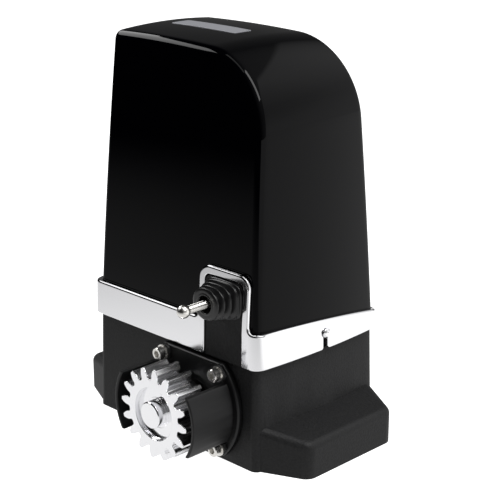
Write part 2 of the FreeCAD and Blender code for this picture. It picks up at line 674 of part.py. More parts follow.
def make_output_shaft():
    front_r = BEARING_6205[0] - RUNNING
    recess_floor = PINION_FRONT_Y + PINION_RECESS_DEPTH
    nose = cylinder(SHAFT_NOSE_R, recess_floor - SHAFT_END_Y + 1, AXIS_X, SHAFT_END_Y, AXIS_Z, Y_AXIS)
    nose = nose.makeChamfer(SHAFT_CHAMFER, [
        edge for edge in nose.Edges
        if abs(edge.CenterOfMass.y - SHAFT_END_Y) < 0.01 and len(edge.Vertexes) == 1])
    body = cylinder(SHAFT_R, FRONT_BEARING_Y - 0.5 - recess_floor, AXIS_X, recess_floor, AXIS_Z, Y_AXIS)
    bearing_end = FRONT_BEARING_Y + BEARING_6205[2]
    journal = cylinder(
        front_r, bearing_end - FRONT_BEARING_Y + 0.5, AXIS_X, FRONT_BEARING_Y - 0.5, AXIS_Z, Y_AXIS)
    collar = cylinder(COLLAR_R, 6, AXIS_X, WHEEL_FRONT_Y - 6, AXIS_Z, Y_AXIS)
    neck = cylinder(
        WHEEL_SEAT_R, WHEEL_FRONT_Y - bearing_end - GAP, AXIS_X, bearing_end + GAP, AXIS_Z, Y_AXIS)
    neck_gap = cylinder(front_r, GAP, AXIS_X, bearing_end, AXIS_Z, Y_AXIS)
    seat = cylinder(WHEEL_SEAT_R, WHEEL_WIDTH, AXIS_X, WHEEL_FRONT_Y, AXIS_Z, Y_AXIS)
    rear = cylinder(
        BEARING_6204[0] - RUNNING, REAR_JOURNAL_END_Y - WHEEL_BACK_Y, AXIS_X, WHEEL_BACK_Y, AXIS_Z, Y_AXIS)
    spacer = cylinder(13.0, REAR_BEARING_Y - WHEEL_BACK_Y - GAP, AXIS_X, WHEEL_BACK_Y, AXIS_Z, Y_AXIS)
    shaft = join(nose, body, journal, neck_gap, neck, collar, seat, spacer, rear)
    release_bore = cylinder(RELEASE_ROD_R + 0.4, 30, AXIS_X, REAR_JOURNAL_END_Y - 12, AXIS_Z, Y_AXIS)
    groove = ring(SHAFT_R + 5, SHAFT_R - 1, CIRCLIP_T, AXIS_X, CIRCLIP_Y, AXIS_Z, Y_AXIS)
    return less(shaft, release_bore, groove, pinion_key_body(), wheel_key_body())


CIRCLIP_T = 1.5


def make_pinion_circlip():
    clip = ring(SHAFT_R + 3.4, SHAFT_R - 1, CIRCLIP_T, AXIS_X, CIRCLIP_Y, AXIS_Z, Y_AXIS)
    return clip.cut(box(AXIS_X - 4, CIRCLIP_Y - 1, AXIS_Z - 30, AXIS_X + 4, CIRCLIP_Y + 4, AXIS_Z))


def make_worm_wheel():
    """Bronze wheel whose teeth slant at the worm's lead angle, with one tooth gap facing the worm."""
    lead_angle = math.atan(WORM_MODULE / (2 * WORM_PITCH_R))
    pitch_r = WORM_MODULE * WHEEL_TEETH / 2
    twist = WHEEL_WIDTH * math.tan(lead_angle) / pitch_r
    gap_at_worm = math.pi + math.pi / WHEEL_TEETH
    slices = 2
    wires = []
    for index in range(slices + 1):
        share = index / slices
        turn = gap_at_worm - (share - 0.5) * twist
        wires.append(involute_outline(
            WORM_MODULE, WHEEL_TEETH, MESH_BACKLASH / 2, share * WHEEL_WIDTH, turn))
    wheel = Part.makeLoft(wires, True, True)
    wheel.translate(Vector(AXIS_X, WHEEL_FRONT_Y, AXIS_Z))
    web = 4.0
    for y in (WHEEL_FRONT_Y, WHEEL_BACK_Y - web):
        wheel = wheel.cut(ring(24.5, 19.5, web, AXIS_X, y, AXIS_Z, Y_AXIS))
    bore = cylinder(WHEEL_SEAT_R, 60, AXIS_X, WHEEL_MID_Y - 30, AXIS_Z, Y_AXIS)
    return less(wheel, bore, wheel_key_body())


# ---------------------------------------------------------------- worm and rotor
LOWER_BEARING_Z = FLOOR + 4.0
WORM_Z0 = AXIS_Z - WORM_LENGTH / 2
UPPER_BEARING_Z = CASE_TOP_Z - BEARING_6203[2] - 2.0
STACK_Z = CHASSIS_TOP_Z + FLANGE_H
BELL_Z = STACK_Z + STACK_H
MOTOR_TOP_Z = BELL_Z + END_BELL_H
TOP_BEARING_Z = MOTOR_TOP_Z - BEARING_6201[2] - 3.0
ROTOR_SHAFT_R = 9.0


def worm_thread():
    """One right-hand thread with the straight flanks of a rack, as a body swept along a helix."""
    pitch = math.pi * WORM_MODULE
    half_pitch_line = pitch / 4 - MESH_BACKLASH / 4
    slope = math.tan(math.radians(20))
    tip_r = WORM_PITCH_R + WORM_MODULE
    sunk_r = WORM_PITCH_R - 1.25 * WORM_MODULE - 0.4
    half_tip = half_pitch_line - slope * (tip_r - WORM_PITCH_R)
    half_root = half_pitch_line + slope * (WORM_PITCH_R - sunk_r)
    helix = Part.makeHelix(pitch, WORM_LENGTH - pitch, sunk_r)
    profile = Part.makePolygon([
        Vector(sunk_r, 0, -half_root), Vector(tip_r, 0, -half_tip),
        Vector(tip_r, 0, half_tip), Vector(sunk_r, 0, half_root), Vector(sunk_r, 0, -half_root)])
    return Part.Wire(helix).makePipeShell([profile], True, True)


def make_worm_shaft():
    """Rotor shaft with the worm cut on its lower end; a thread crest faces the wheel's tooth gap."""
    thread = worm_thread()
    pitch = math.pi * WORM_MODULE
    turns_to_middle = round((WORM_LENGTH - pitch) / 2 / pitch)
    thread.translate(Vector(WORM_X, WHEEL_MID_Y, AXIS_Z - turns_to_middle * pitch))
    root_r = WORM_PITCH_R - 1.25 * WORM_MODULE
    steps = [
        (BEARING_6201[0] - RUNNING, LOWER_BEARING_Z + 0.5, LOWER_BEARING_Z + BEARING_6201[2] + GAP),
        (root_r, LOWER_BEARING_Z + BEARING_6201[2] + GAP, WORM_Z0 + WORM_LENGTH + 2),
        (BEARING_6203[0] - RUNNING, WORM_Z0 + WORM_LENGTH + 2, CHASSIS_TOP_Z + 4),
        (ROTOR_SHAFT_R, CHASSIS_TOP_Z + 4, TOP_BEARING_Z - GAP),
        (BEARING_6201[0] - RUNNING, TOP_BEARING_Z - GAP, TOP_BEARING_Z + BEARING_6201[2] - 0.5),
    ]
    shafts = [
        cylinder(radius, top - bottom, WORM_X, WHEEL_MID_Y, bottom) for radius, bottom, top in steps]
    shaft = join(shafts[0], *shafts[1:])
    return shaft.fuse(thread)


def make_rotor_core():
    radius = MOTOR_BORE_R - MOTOR_AIR_GAP
    core = ring(radius, ROTOR_SHAFT_R, STACK_H, WORM_X, WHEEL_MID_Y, STACK_Z)
    collar = 4.0
    rings = [
        ring(radius - 2, radius - 9, collar, WORM_X, WHEEL_MID_Y, z)
        for z in (STACK_Z - collar, STACK_Z + STACK_H)]
    return join(core, *rings)


# ---------------------------------------------------------------- gear case
def make_gearbox_case():
    chamber_r = WORM_MODULE * (WHEEL_TEETH / 2 + 1) + 1.4
    depth = CASE_BACK_Y - CASE_FRONT_Y
    drum = cylinder(chamber_r + CASE_WALL - 0.3, depth, AXIS_X, CASE_FRONT_Y, AXIS_Z, Y_AXIS)
    column_r = BEARING_6203[1] + CASE_WALL
    column = cylinder(column_r, CASE_TOP_Z - FLOOR, WORM_X, WHEEL_MID_Y, FLOOR)
    column = column.common(box(-90, CASE_FRONT_Y, 0, 90, CASE_BACK_Y, 120))
    plinth = upright(WORM_X - 20, CASE_FRONT_Y, AXIS_X + 30, CASE_BACK_Y, 4, FLOOR, FLOOR + 8)
    ear = upright(AXIS_X + 15, CASE_BACK_Y - 38, AXIS_X + 40, CASE_BACK_Y, 5, FLOOR, FLOOR + 8)
    head = upright(WORM_X - 36, CASE_FRONT_Y + 12, WORM_X + 36, CASE_BACK_Y, 8, CASE_TOP_Z - 8, CASE_TOP_Z)
    body = join(drum, column, plinth, ear, head)
    wheel_room = cylinder(chamber_r, 60, AXIS_X, WHEEL_FRONT_Y - 8, AXIS_Z, Y_AXIS)
    neck = cylinder(COLLAR_R + 1.5, 60, AXIS_X, CASE_FRONT_Y + 5, AXIS_Z, Y_AXIS)
    bearing = cylinder(BEARING_6205[1], BEARING_6205[2], AXIS_X, FRONT_BEARING_Y, AXIS_Z, Y_AXIS)
    worm_room = cylinder(
        WORM_PITCH_R + WORM_MODULE + 1.5, UPPER_BEARING_Z - LOWER_BEARING_Z,
        WORM_X, WHEEL_MID_Y, LOWER_BEARING_Z)
    lower_seat = cylinder(BEARING_6201[1], BEARING_6201[2], WORM_X, WHEEL_MID_Y, LOWER_BEARING_Z)
    upper_seat = cylinder(BEARING_6203[1], 40, WORM_X, WHEEL_MID_Y, UPPER_BEARING_Z)
    cutters = [wheel_room, neck, bearing, worm_room, lower_seat, upper_seat]
    cutters += [cylinder(CASE_BOLT_R, 30, x, y, FLOOR - 1) for x, y in CASE_BOLTS]
    cutters += [cylinder(REAR_SCREW_R, 12, x, CASE_BACK_Y - 10, z, Y_AXIS) for x, z in REAR_SCREWS]
    return less(body, *cutters)


CASE_BOLT_R = 3.0
CASE_BOLTS = [
    (AXIS_X + 34, CASE_BACK_Y - 8), (AXIS_X + 34, CASE_BACK_Y - 30), (WORM_X - 13, CASE_FRONT_Y + 8)]
REAR_COVER_R = WORM_MODULE * (WHEEL_TEETH / 2 + 1) + 1.4 + CASE_WALL - 0.4
REAR_SCREW_R = 1.6
REAR_SCREW_RING_R = REAR_COVER_R - 2.1
REAR_SCREWS = [
    (AXIS_X + REAR_SCREW_RING_R * math.cos(math.radians(angle)),
     AXIS_Z + REAR_SCREW_RING_R * math.sin(math.radians(angle))) for angle in (-40, 40, 90, 230)]
REAR_COVER_T = 6.0


def make_gearbox_rear_cover():
    disc = cylinder(REAR_COVER_R, REAR_COVER_T, AXIS_X, CASE_BACK_Y, AXIS_Z, Y_AXIS)
    boss_end = REAR_BEARING_Y + BEARING_6204[2] + 3
    boss = cylinder(BEARING_6204[1] + 4, boss_end - CASE_BACK_Y, AXIS_X, CASE_BACK_Y, AXIS_Z, Y_AXIS)
    body = join(disc, boss)
    seat = cylinder(
        BEARING_6204[1], REAR_BEARING_Y + BEARING_6204[2] - CASE_BACK_Y + 1,
        AXIS_X, CASE_BACK_Y - 1, AXIS_Z, Y_AXIS)
    hole = cylinder(RELEASE_ROD_R + RUNNING, 60, AXIS_X, CASE_BACK_Y, AXIS_Z, Y_AXIS)
    holes = [
        cylinder(REAR_SCREW_R, 30, x, CASE_BACK_Y - 5, z, Y_AXIS) for x, z in REAR_SCREWS]
    return less(body, seat, hole, *holes)


def make_output_seal():
    return ring(SEAL_R, SHAFT_R + GAP, SEAL_W, AXIS_X, CASE_FRONT_Y - SEAL_W - 1, AXIS_Z, Y_AXIS)


# ---------------------------------------------------------------- screws
def socket_screw(shank_r, length, head_r, head_h, key_r):
    """A cap screw along +Y with the underside of its head at the origin."""
    head = cylinder(head_r, head_h, 0, -head_h, 0, Y_AXIS)
    rim = [edge for edge in head.Edges if len(edge.Vertexes) == 1 and edge.CenterOfMass.y < -head_h + 0.01]
    head = head.makeChamfer(head_r * 0.12, rim)
    socket = hex_prism(key_r, head_h * 0.55)
    socket.rotate(Vector(0, 0, 0), X_AXIS, -90)
    socket.translate(Vector(0, -head_h, 0))
    return join(head, cylinder(shank_r, length, 0, 0, 0, Y_AXIS)).cut(socket)


def hex_prism(radius, height):
    turns = [math.radians(60 * k) for k in range(6)]
    corners = [(radius * math.cos(turn), radius * math.sin(turn), 0) for turn in turns]
    return polygon(corners).extrude(Vector(0, 0, height))


def placed(shape, x, y, z, axis=None, angle=0.0):
    copy = shape.copy()
    if axis is not None:
        copy.rotate(Vector(0, 0, 0), axis, angle)
    copy.translate(Vector(x, y, z))
    return copy


GUARD_WASHER_T = 1.2


def make_guard_screws():
    face_y = GUARD_BACK_Y - GUARD_T - GUARD_BOSS_H
    screw = socket_screw(GUARD_SCREW_R, GUARD_SCREW_END_Y - face_y + GUARD_WASHER_T, 5.0, 6.0, 2.9)
    washer = cylinder(6.0, GUARD_WASHER_T, 0, 0, 0, Y_AXIS)
    unit = join(screw, washer)
    return Part.Compound([placed(unit, x, face_y - GUARD_WASHER_T, z) for x, z in GUARD_SCREWS])


def make_cover_screws():
    screws = []
    band_x = BASE_HALF_X - DRAFT * STEP_Z + BAND_PROUD + END_BOW
    head_h = 2.4
    head = Part.makeSphere(5.2, Vector(head_h - 5.2, 0, 0)).common(cylinder(3.8, head_h, 0, 0, 0, X_AXIS))
    head = head.cut(placed(hex_prism(1.7, 4), 1.0, 0, 0, Y_AXIS, 90))
    screw = head.fuse(cylinder(2.0, 18, -18, 0, 0, X_AXIS)).removeSplitter()
    screws.append(placed(screw, band_x + GAP, SLOT_Y, COVER_SCREW_Z))
    screws.append(placed(screw, -band_x - GAP, SLOT_Y, COVER_SCREW_Z, Z_AXIS, 180))
    return Part.Compound(screws)


def make_chassis_screws():
    screw = socket_screw(CHASSIS_SCREW_R, 14, 4.2, 3.0, 2.2)
    return Part.Compound([placed(screw, x, y, CHASSIS_TOP_Z, X_AXIS, -90) for x, y in CHASSIS_POSTS])


def make_gearbox_bolts():
    bolt = socket_screw(CASE_BOLT_R, 7.5, 4.6, 5.0, 2.9)
    return Part.Compound([placed(bolt, x, y, FLOOR + 8, X_AXIS, -90) for x, y in CASE_BOLTS])


def make_rear_cover_screws():
    screw = socket_screw(REAR_SCREW_R, REAR_COVER_T + 7, 3.0, 3.0, 1.5)
    return Part.Compound([
        placed(screw, x, CASE_BACK_Y + REAR_COVER_T, z, Z_AXIS, 180) for x, z in REAR_SCREWS])


TIE_BOLTS = [
    (WORM_X + TIE_BOLT_RING_R * math.cos(math.radians(angle)),
     WHEEL_MID_Y + TIE_BOLT_RING_R * math.sin(math.radians(angle))) for angle in (45, 135, 225, 315)]
TIE_BOLT_R = 2.0


def make_motor_tie_bolts():
    bolt = socket_screw(TIE_BOLT_R, MOTOR_TOP_Z - CHASSIS_TOP_Z - 6.0, 3.4, 3.4, 1.8)
    return Part.Compound([placed(bolt, x, y, MOTOR_TOP_Z - 6.0, X_AXIS, -90) for x, y in TIE_BOLTS])


# ---------------------------------------------------------------- motor
PLATE_HOLE_R = 11.0           # cables pass through the chassis plate here


def make_chassis_plate():
    half_x = BASE_HALF_X - DRAFT * RIM_TOP_Z - RIM_INSET - 0.6
    half_y = BASE_HALF_Y - DRAFT * RIM_TOP_Z - RIM_INSET - 0.6
    plate = upright(-half_x, -half_y, half_x, half_y, 5.0, CASE_TOP_Z, CHASSIS_TOP_Z)
    cutters = [cylinder(BEARING_6203[1] - 4, 20, WORM_X, WHEEL_MID_Y, CASE_TOP_Z - 5)]
    cutters += [cylinder(CHASSIS_SCREW_R, 20, x, y, CASE_TOP_Z - 5) for x, y in CHASSIS_POSTS]
    cutters.append(cylinder(
        PLATE_HOLE_R, 20, PLATE_HOLE_R + 3 - half_x, half_y - PLATE_HOLE_R - 16, CASE_TOP_Z - 5))
    x0, x1 = WINDOW_X0 - 0.5, WINDOW_X1 + 0.5
    cutters.append(box(x0, -FAR, CASE_TOP_Z - 5, x1, -CAVITY_HALF_Y, CASE_TOP_Z + 9))
    for sign in (-1, 1):
        far, near = sign * FAR, sign * (CAVITY_HALF_X - 5)
        cutters.append(box(
            min(far, near), SLOT_Y - LUG_HALF_Y - 1, CASE_TOP_Z - 5,
            max(far, near), SLOT_Y + LUG_HALF_Y + 1, CASE_TOP_Z + 9))
    return less(plate, *cutters)


def make_motor_flange():
    cup = cylinder(MOTOR_R, FLANGE_H, WORM_X, WHEEL_MID_Y, CHASSIS_TOP_Z)
    room = cylinder(MOTOR_R - MOTOR_WALL, FLANGE_H, WORM_X, WHEEL_MID_Y, CHASSIS_TOP_Z + 4)
    lands = [cylinder(5.5, FLANGE_H, x, y, CHASSIS_TOP_Z).common(cup) for x, y in TIE_BOLTS]
    body = join(cup.cut(room), *lands)
    hole = cylinder(BEARING_6203[0] + 3, 20, WORM_X, WHEEL_MID_Y, CHASSIS_TOP_Z - 5)
    bolts = [cylinder(TIE_BOLT_R, 60, x, y, CHASSIS_TOP_Z) for x, y in TIE_BOLTS]
    return less(body, hole, *bolts)


def make_stator_stack():
    stack = ring(MOTOR_R, MOTOR_BORE_R, STACK_H, WORM_X, WHEEL_MID_Y, STACK_Z)
    bolts = [cylinder(TIE_BOLT_R, 80, x, y, STACK_Z - 5) for x, y in TIE_BOLTS]
    return less(stack, *bolts)


WINDING_H = 8.0
WINDING_R = MOTOR_R - 10.6


def make_stator_windings():
    heads = []
    for z in (STACK_Z - WINDING_H, STACK_Z + STACK_H):
        head = ring(WINDING_R, MOTOR_BORE_R + 0.6, WINDING_H, WORM_X, WHEEL_MID_Y, z)
        heads.append(head.makeFillet(2.0, [e for e in head.Edges if len(e.Vertexes) == 1]))
    return Part.Compound(heads)


def make_motor_end_bell():
    cup = cylinder(MOTOR_R, END_BELL_H, WORM_X, WHEEL_MID_Y, BELL_Z)
    top_edge = [
        edge for edge in cup.Edges if len(edge.Vertexes) == 1 and edge.CenterOfMass.z > MOTOR_TOP_Z - 0.1]
    cup = cup.makeFillet(5.0, top_edge)
    room = cylinder(MOTOR_R - MOTOR_WALL, END_BELL_H - 6, WORM_X, WHEEL_MID_Y, BELL_Z)
    seat_boss = cylinder(BEARING_6201[1] + 4, END_BELL_H - 10, WORM_X, WHEEL_MID_Y, BELL_Z + 10)
    lands = [cylinder(5.0, END_BELL_H, x, y, BELL_Z) for x, y in TIE_BOLTS]
    body = join(cup.cut(room), seat_boss, *[land.common(cup) for land in lands])
    seat = cylinder(BEARING_6201[1], BEARING_6201[2] + 20, WORM_X, WHEEL_MID_Y, TOP_BEARING_Z - 20)
    cutters = [seat]
    cutters += [cylinder(TIE_BOLT_R, 80, x, y, BELL_Z - 5) for x, y in TIE_BOLTS]
    cutters += [cylinder(4.4, 20, x, y, MOTOR_TOP_Z - 6.0) for x, y in TIE_BOLTS]
    return less(body, *cutters)


# ---------------------------------------------------------------- guard
def make_pinion_guard():
    front_y = PINION_FRONT_Y
    plate_front = GUARD_BACK_Y - GUARD_T
    plate = cylinder(GUARD_R, GUARD_T, AXIS_X, plate_front, AXIS_Z, Y_AXIS)
    plate = plate.common(box(-FAR, -FAR, AXIS_Z - GUARD_FLAT, FAR, 0, AXIS_Z + GUARD_FLAT))
    front_rim = [edge for edge in plate.Edges if abs(edge.CenterOfMass.y - plate_front) < 0.01]
    plate = plate.makeFillet(1.6, front_rim)
    wing_tube = ring(WING_R, WING_R - WING_T, plate_front - front_y, AXIS_X, front_y, AXIS_Z, Y_AXIS)
    wings = wing_tube.common(box(-FAR, -FAR, AXIS_Z - WING_HALF_Z, FAR, 0, AXIS_Z + WING_HALF_Z))
    lips = [
        edge for edge in wings.Edges
        if abs(edge.CenterOfMass.y - front_y) < 0.01 and edge.Length > 10]
    wings = wings.makeFillet(1.0, lips)
    bosses = [
        cylinder(GUARD_BOSS_R, GUARD_BOSS_H + 1, x, plate_front - GUARD_BOSS_H, z, Y_AXIS)
        for x, z in GUARD_SCREWS]
    bosses = [boss.common(cylinder(GUARD_R - 1.6, 40, AXIS_X, -100, AXIS_Z, Y_AXIS)) for boss in bosses]
    body = join(plate, wings, *bosses)
    holes = [cylinder(GUARD_SCREW_R, 30, x, -85, z, Y_AXIS) for x, z in GUARD_SCREWS]
    shaft_hole = cylinder(PINION_HUB_R + 3, 60, AXIS_X, -100, AXIS_Z, Y_AXIS)
    return less(body, shaft_hole, *holes)


# ---------------------------------------------------------------- limit switch
LIMIT_CASE_Y0 = TONGUE_FRONT_Y + TONGUE_LEAN * (WINDOW_TOP_Z - STEP_Z) + TONGUE_T + 0.2
LIMIT_CASE_Y1 = LIMIT_PIVOT_Y + 18.0
LIMIT_CASE_HALF_X = 13.0
LIMIT_FAN_HALF_X = 10.5
LIMIT_CASE_Z0, LIMIT_CASE_Z1 = CHASSIS_TOP_Z, LIMIT_Z + 14.0
DRUM_R = 7.5
DRUM_HALF_H = 8.0
LIMIT_PIN_R = 2.5


def make_limit_switch_case():
    case = upright(
        LIMIT_X - LIMIT_CASE_HALF_X, LIMIT_CASE_Y0, LIMIT_X + LIMIT_CASE_HALF_X, LIMIT_CASE_Y1, 2.0,
        LIMIT_CASE_Z0, LIMIT_CASE_Z1)
    room = cylinder(DRUM_R + 1.0, 2 * DRUM_HALF_H + 1, LIMIT_X, LIMIT_PIVOT_Y, LIMIT_Z - DRUM_HALF_H - 0.5)
    fan = box(
        LIMIT_X - LIMIT_FAN_HALF_X, LIMIT_CASE_Y0 - 1, LIMIT_Z - LIMIT_SLOT_HALF_Z,
        LIMIT_X + LIMIT_FAN_HALF_X, LIMIT_PIVOT_Y, LIMIT_Z + LIMIT_SLOT_HALF_Z)
    pin_bore = cylinder(
        LIMIT_PIN_R + RUNNING, 2 * DRUM_HALF_H + 8, LIMIT_X, LIMIT_PIVOT_Y, LIMIT_Z - DRUM_HALF_H - 4)
    return less(case, room, fan, pin_bore)


def make_limit_pivot():
    drum = cylinder(DRUM_R, 2 * DRUM_HALF_H, LIMIT_X, LIMIT_PIVOT_Y, LIMIT_Z - DRUM_HALF_H)
    pin = cylinder(LIMIT_PIN_R, 2 * DRUM_HALF_H + 6, LIMIT_X, LIMIT_PIVOT_Y, LIMIT_Z - DRUM_HALF_H - 3)
    socket = cylinder(LIMIT_ROD_R, 20, LIMIT_X, LIMIT_PIVOT_Y - 20, LIMIT_Z, Y_AXIS)
    return join(drum, pin).cut(socket)


ROD_FRONT_Y = LIMIT_BALL_Y + LIMIT_BALL_R - 0.8
NECK_R = 2.0
NECK_LENGTH = 10.0


def make_limit_rod():
    """Closely wound spring that stands on the pivot drum: its outside, with the ball's neck bored out."""
    rod = cylinder(LIMIT_ROD_R, LIMIT_PIVOT_Y - ROD_FRONT_Y, LIMIT_X, ROD_FRONT_Y, LIMIT_Z, Y_AXIS)
    return rod.cut(cylinder(NECK_R, NECK_LENGTH, LIMIT_X, ROD_FRONT_Y, LIMIT_Z, Y_AXIS))


def make_limit_ball():
    ball = Part.makeSphere(LIMIT_BALL_R, Vector(LIMIT_X, LIMIT_BALL_Y, LIMIT_Z))
    ball = ball.common(box(0, -FAR, 0, FAR, ROD_FRONT_Y, TOP_PEAK_Z))
    neck = cylinder(NECK_R, NECK_LENGTH + 2, LIMIT_X, ROD_FRONT_Y - 2, LIMIT_Z, Y_AXIS)
    return join(ball, neck)


def pleat_wire(half_x, half_z, corner, y):
    """A rounded rectangle about the limit switch's axis, in the plane at y."""
    corner = min(corner, half_x - 0.05, half_z - 0.05)
    dx, dz = half_x - corner, half_z - corner
    k = corner * math.sqrt(0.5)
    edges = []
    for sx, sz in ((1, 1), (-1, 1), (-1, -1), (1, -1)):
        centre_x, centre_z = LIMIT_X + sx * dx, LIMIT_Z + sz * dz
        on_side = (centre_x + sx * corner, y, centre_z)
        on_top = (centre_x, y, centre_z + sz * corner)
        middle = (centre_x + sx * k, y, centre_z + sz * k)
        first, last = (on_side, on_top) if sx * sz > 0 else (on_top, on_side)
        edges.append(arc(first, middle, last))
    wires = []
    for index, edge in enumerate(edges):
        following = edges[(index + 1) % 4]
        wires.append(edge)
        wires.append(Part.makeLine(edge.Vertexes[-1].Point, following.Vertexes[0].Point))
    return Part.Wire(wires)


BELLOWS_BACK_HALF_X = 18.6
BELLOWS_BACK_HALF_Z = 14.0
PLEAT_DEPTH = 3.0
BELLOWS_BACK_Y = TONGUE_FRONT_Y + TONGUE_LEAN * (LIMIT_Z - STEP_Z) - 0.6


def make_bellows():
    """Rubber boot: ridges that are nearly round at the front and turn square towards the flange.

    Each ridge swells to a crest and falls to a tight valley; the last one runs into the flange."""
    first_y = BELLOWS_FRONT_Y
    flange_y = first_y + BELLOWS_PLEATS * BELLOWS_PITCH - 1.6

    def section(share, drop, y):
        half_x = BELLOWS_FRONT_HALF_X + share * (BELLOWS_BACK_HALF_X - BELLOWS_FRONT_HALF_X) - drop
        half_z = BELLOWS_FRONT_HALF_Z + share * (BELLOWS_BACK_HALF_Z - BELLOWS_FRONT_HALF_Z) - drop
        corner = half_z - share * 6.0
        return pleat_wire(half_x, half_z, corner, y)

    wires = [section(0.0, 1.6, first_y)]
    for index in range(BELLOWS_PLEATS):
        share = index / BELLOWS_PLEATS
        start = first_y + BELLOWS_PITCH * index
        wires.append(section(share, 0.25, start + BELLOWS_PITCH * 0.16))
        wires.append(section(share, 0.0, start + BELLOWS_PITCH * 0.32))
        wires.append(section(share, 0.25, start + BELLOWS_PITCH * 0.46))
        if index < BELLOWS_PLEATS - 1:
            wires.append(section(share + 0.12, PLEAT_DEPTH, start + BELLOWS_PITCH * 0.8))
    wires.append(section(1.0, 1.2, flange_y + 0.2))
    boot = Part.makeLoft(wires, True, True)
    flange = slab(
        LIMIT_X - BELLOWS_BACK_HALF_X - 0.4, LIMIT_Z - BELLOWS_BACK_HALF_Z - 0.4,
        LIMIT_X + BELLOWS_BACK_HALF_X + 0.4, LIMIT_Z + BELLOWS_BACK_HALF_Z, 6.0, flange_y, BELLOWS_BACK_Y)
    room_half_z = LIMIT_SLOT_HALF_Z + 3.5
    room_front = flange_y - 1.5
    room = slab(
        LIMIT_X - LIMIT_SLOT_HALF_X, LIMIT_Z - room_half_z,
        LIMIT_X + LIMIT_SLOT_HALF_X, LIMIT_Z + room_half_z,
        6.0, room_front, BELLOWS_BACK_Y + 1)
    throat = Part.makeCone(
        BELLOWS_HOLE_R, room_half_z, room_front - first_y, Vector(LIMIT_X, first_y, LIMIT_Z), Y_AXIS)
    return less(boot.fuse(flange), room, throat)


# ---------------------------------------------------------------- electrics under the cover
BRACKET_X = WORM_X - MOTOR_R - 2.8
BRACKET_T = 1.5
BOARD_HALF_Y = BASE_HALF_Y - 21.3
BOARD_Z0, BOARD_Z1 = 102.0, 196.0
STANDOFF = 3.0
BOARD_T = 1.6
BOARD_X = BRACKET_X - STANDOFF


def make_board_bracket():
    sheet = box(
        BRACKET_X, -BOARD_HALF_Y - 2, CHASSIS_TOP_Z, BRACKET_X + BRACKET_T, BOARD_HALF_Y + 2, BOARD_Z1 + 2)
    foot = box(BRACKET_X - 12, -BOARD_HALF_Y - 2, CHASSIS_TOP_Z, BRACKET_X, -20, CHASSIS_TOP_Z + BRACKET_T)
    posts = [
        cylinder(2.5, STANDOFF, BOARD_X, y, z, X_AXIS)
        for y in (-BOARD_HALF_Y + 4, BOARD_HALF_Y - 4) for z in (BOARD_Z0 + 4, BOARD_Z1 - 4)]
    return join(sheet, foot, *posts)


def make_control_board():
    return box(BOARD_X - BOARD_T, -BOARD_HALF_Y, BOARD_Z0, BOARD_X, BOARD_HALF_Y, BOARD_Z1)


COMPONENT_X = BOARD_X - BOARD_T


def make_terminal_blocks():
    blocks = []
    pitch = (2 * BOARD_HALF_Y - 11) / 3
    for index in range(3):
        y0 = 7 - BOARD_HALF_Y + index * pitch
        block = box(COMPONENT_X - 11, y0, BOARD_Z0 + 3, COMPONENT_X, y0 + pitch - 2, BOARD_Z0 + 14)
        block = block.cut(box(
            COMPONENT_X - 12, y0 - 1, BOARD_Z0 + 10, COMPONENT_X - 8, y0 + pitch, BOARD_Z0 + 15))
        holes = [
            cylinder(1.7, 9, COMPONENT_X - 12, y0 + 2.5 + 5.0 * k, BOARD_Z0 + 6.5, X_AXIS) for k in range(5)]
        blocks.append(block.cut(holes))
    return Part.Compound(blocks)


def make_relays():
    relays = []
    for y0 in (-40.0, -18.0, 4.0):
        relay = box(COMPONENT_X - 14, y0, BOARD_Z0 + 24, COMPONENT_X, y0 + 19, BOARD_Z0 + 40)
        far_edges = [edge for edge in relay.Edges if edge.CenterOfMass.x < COMPONENT_X - 13.9]
        relays.append(relay.makeFillet(1.0, far_edges))
    return Part.Compound(relays)


def make_fuse_holder():
    base = box(COMPONENT_X - 4, 28, BOARD_Z0 + 24, COMPONENT_X, 38, BOARD_Z0 + 50)
    fuse = cylinder(3.2, 20, COMPONENT_X - 6.4, 33, BOARD_Z0 + 27)
    clips = [
        box(COMPONENT_X - 7, 29.5, z, COMPONENT_X - 4, 36.5, z + 4) for z in (BOARD_Z0 + 27, BOARD_Z0 + 43)]
    return join(base, fuse, *clips)


def make_receiver_module():
    board = box(COMPONENT_X - 9, -36, BOARD_Z0 + 54, COMPONENT_X, -34, BOARD_Z0 + 80)
    can = box(COMPONENT_X - 7, -34, BOARD_Z0 + 58, COMPONENT_X - 2, -27, BOARD_Z0 + 76)
    return join(board, can)


CAPACITOR_ROOM = BASE_HALF_X - 7.8 - WORM_X - MOTOR_R     # between the motor and the cover
CAPACITOR_X = WORM_X + MOTOR_R + CAPACITOR_ROOM / 2 - 0.2
CAPACITOR_Y = -6.0
CAPACITOR_R = CAPACITOR_ROOM / 2 - 7.0
CAPACITOR_H = 76.0


def make_run_capacitor():
    can = cylinder(CAPACITOR_R, CAPACITOR_H, CAPACITOR_X, CAPACITOR_Y, CHASSIS_TOP_Z)
    can = can.makeFillet(2.0, [e for e in can.Edges if len(e.Vertexes) == 1])
    tabs = [
        box(CAPACITOR_X + x - 0.4, CAPACITOR_Y - 3, CHASSIS_TOP_Z + CAPACITOR_H - 1,
            CAPACITOR_X + x + 0.4, CAPACITOR_Y + 3, CHASSIS_TOP_Z + CAPACITOR_H + 9) for x in (-6, 6)]
    return join(can, *tabs)


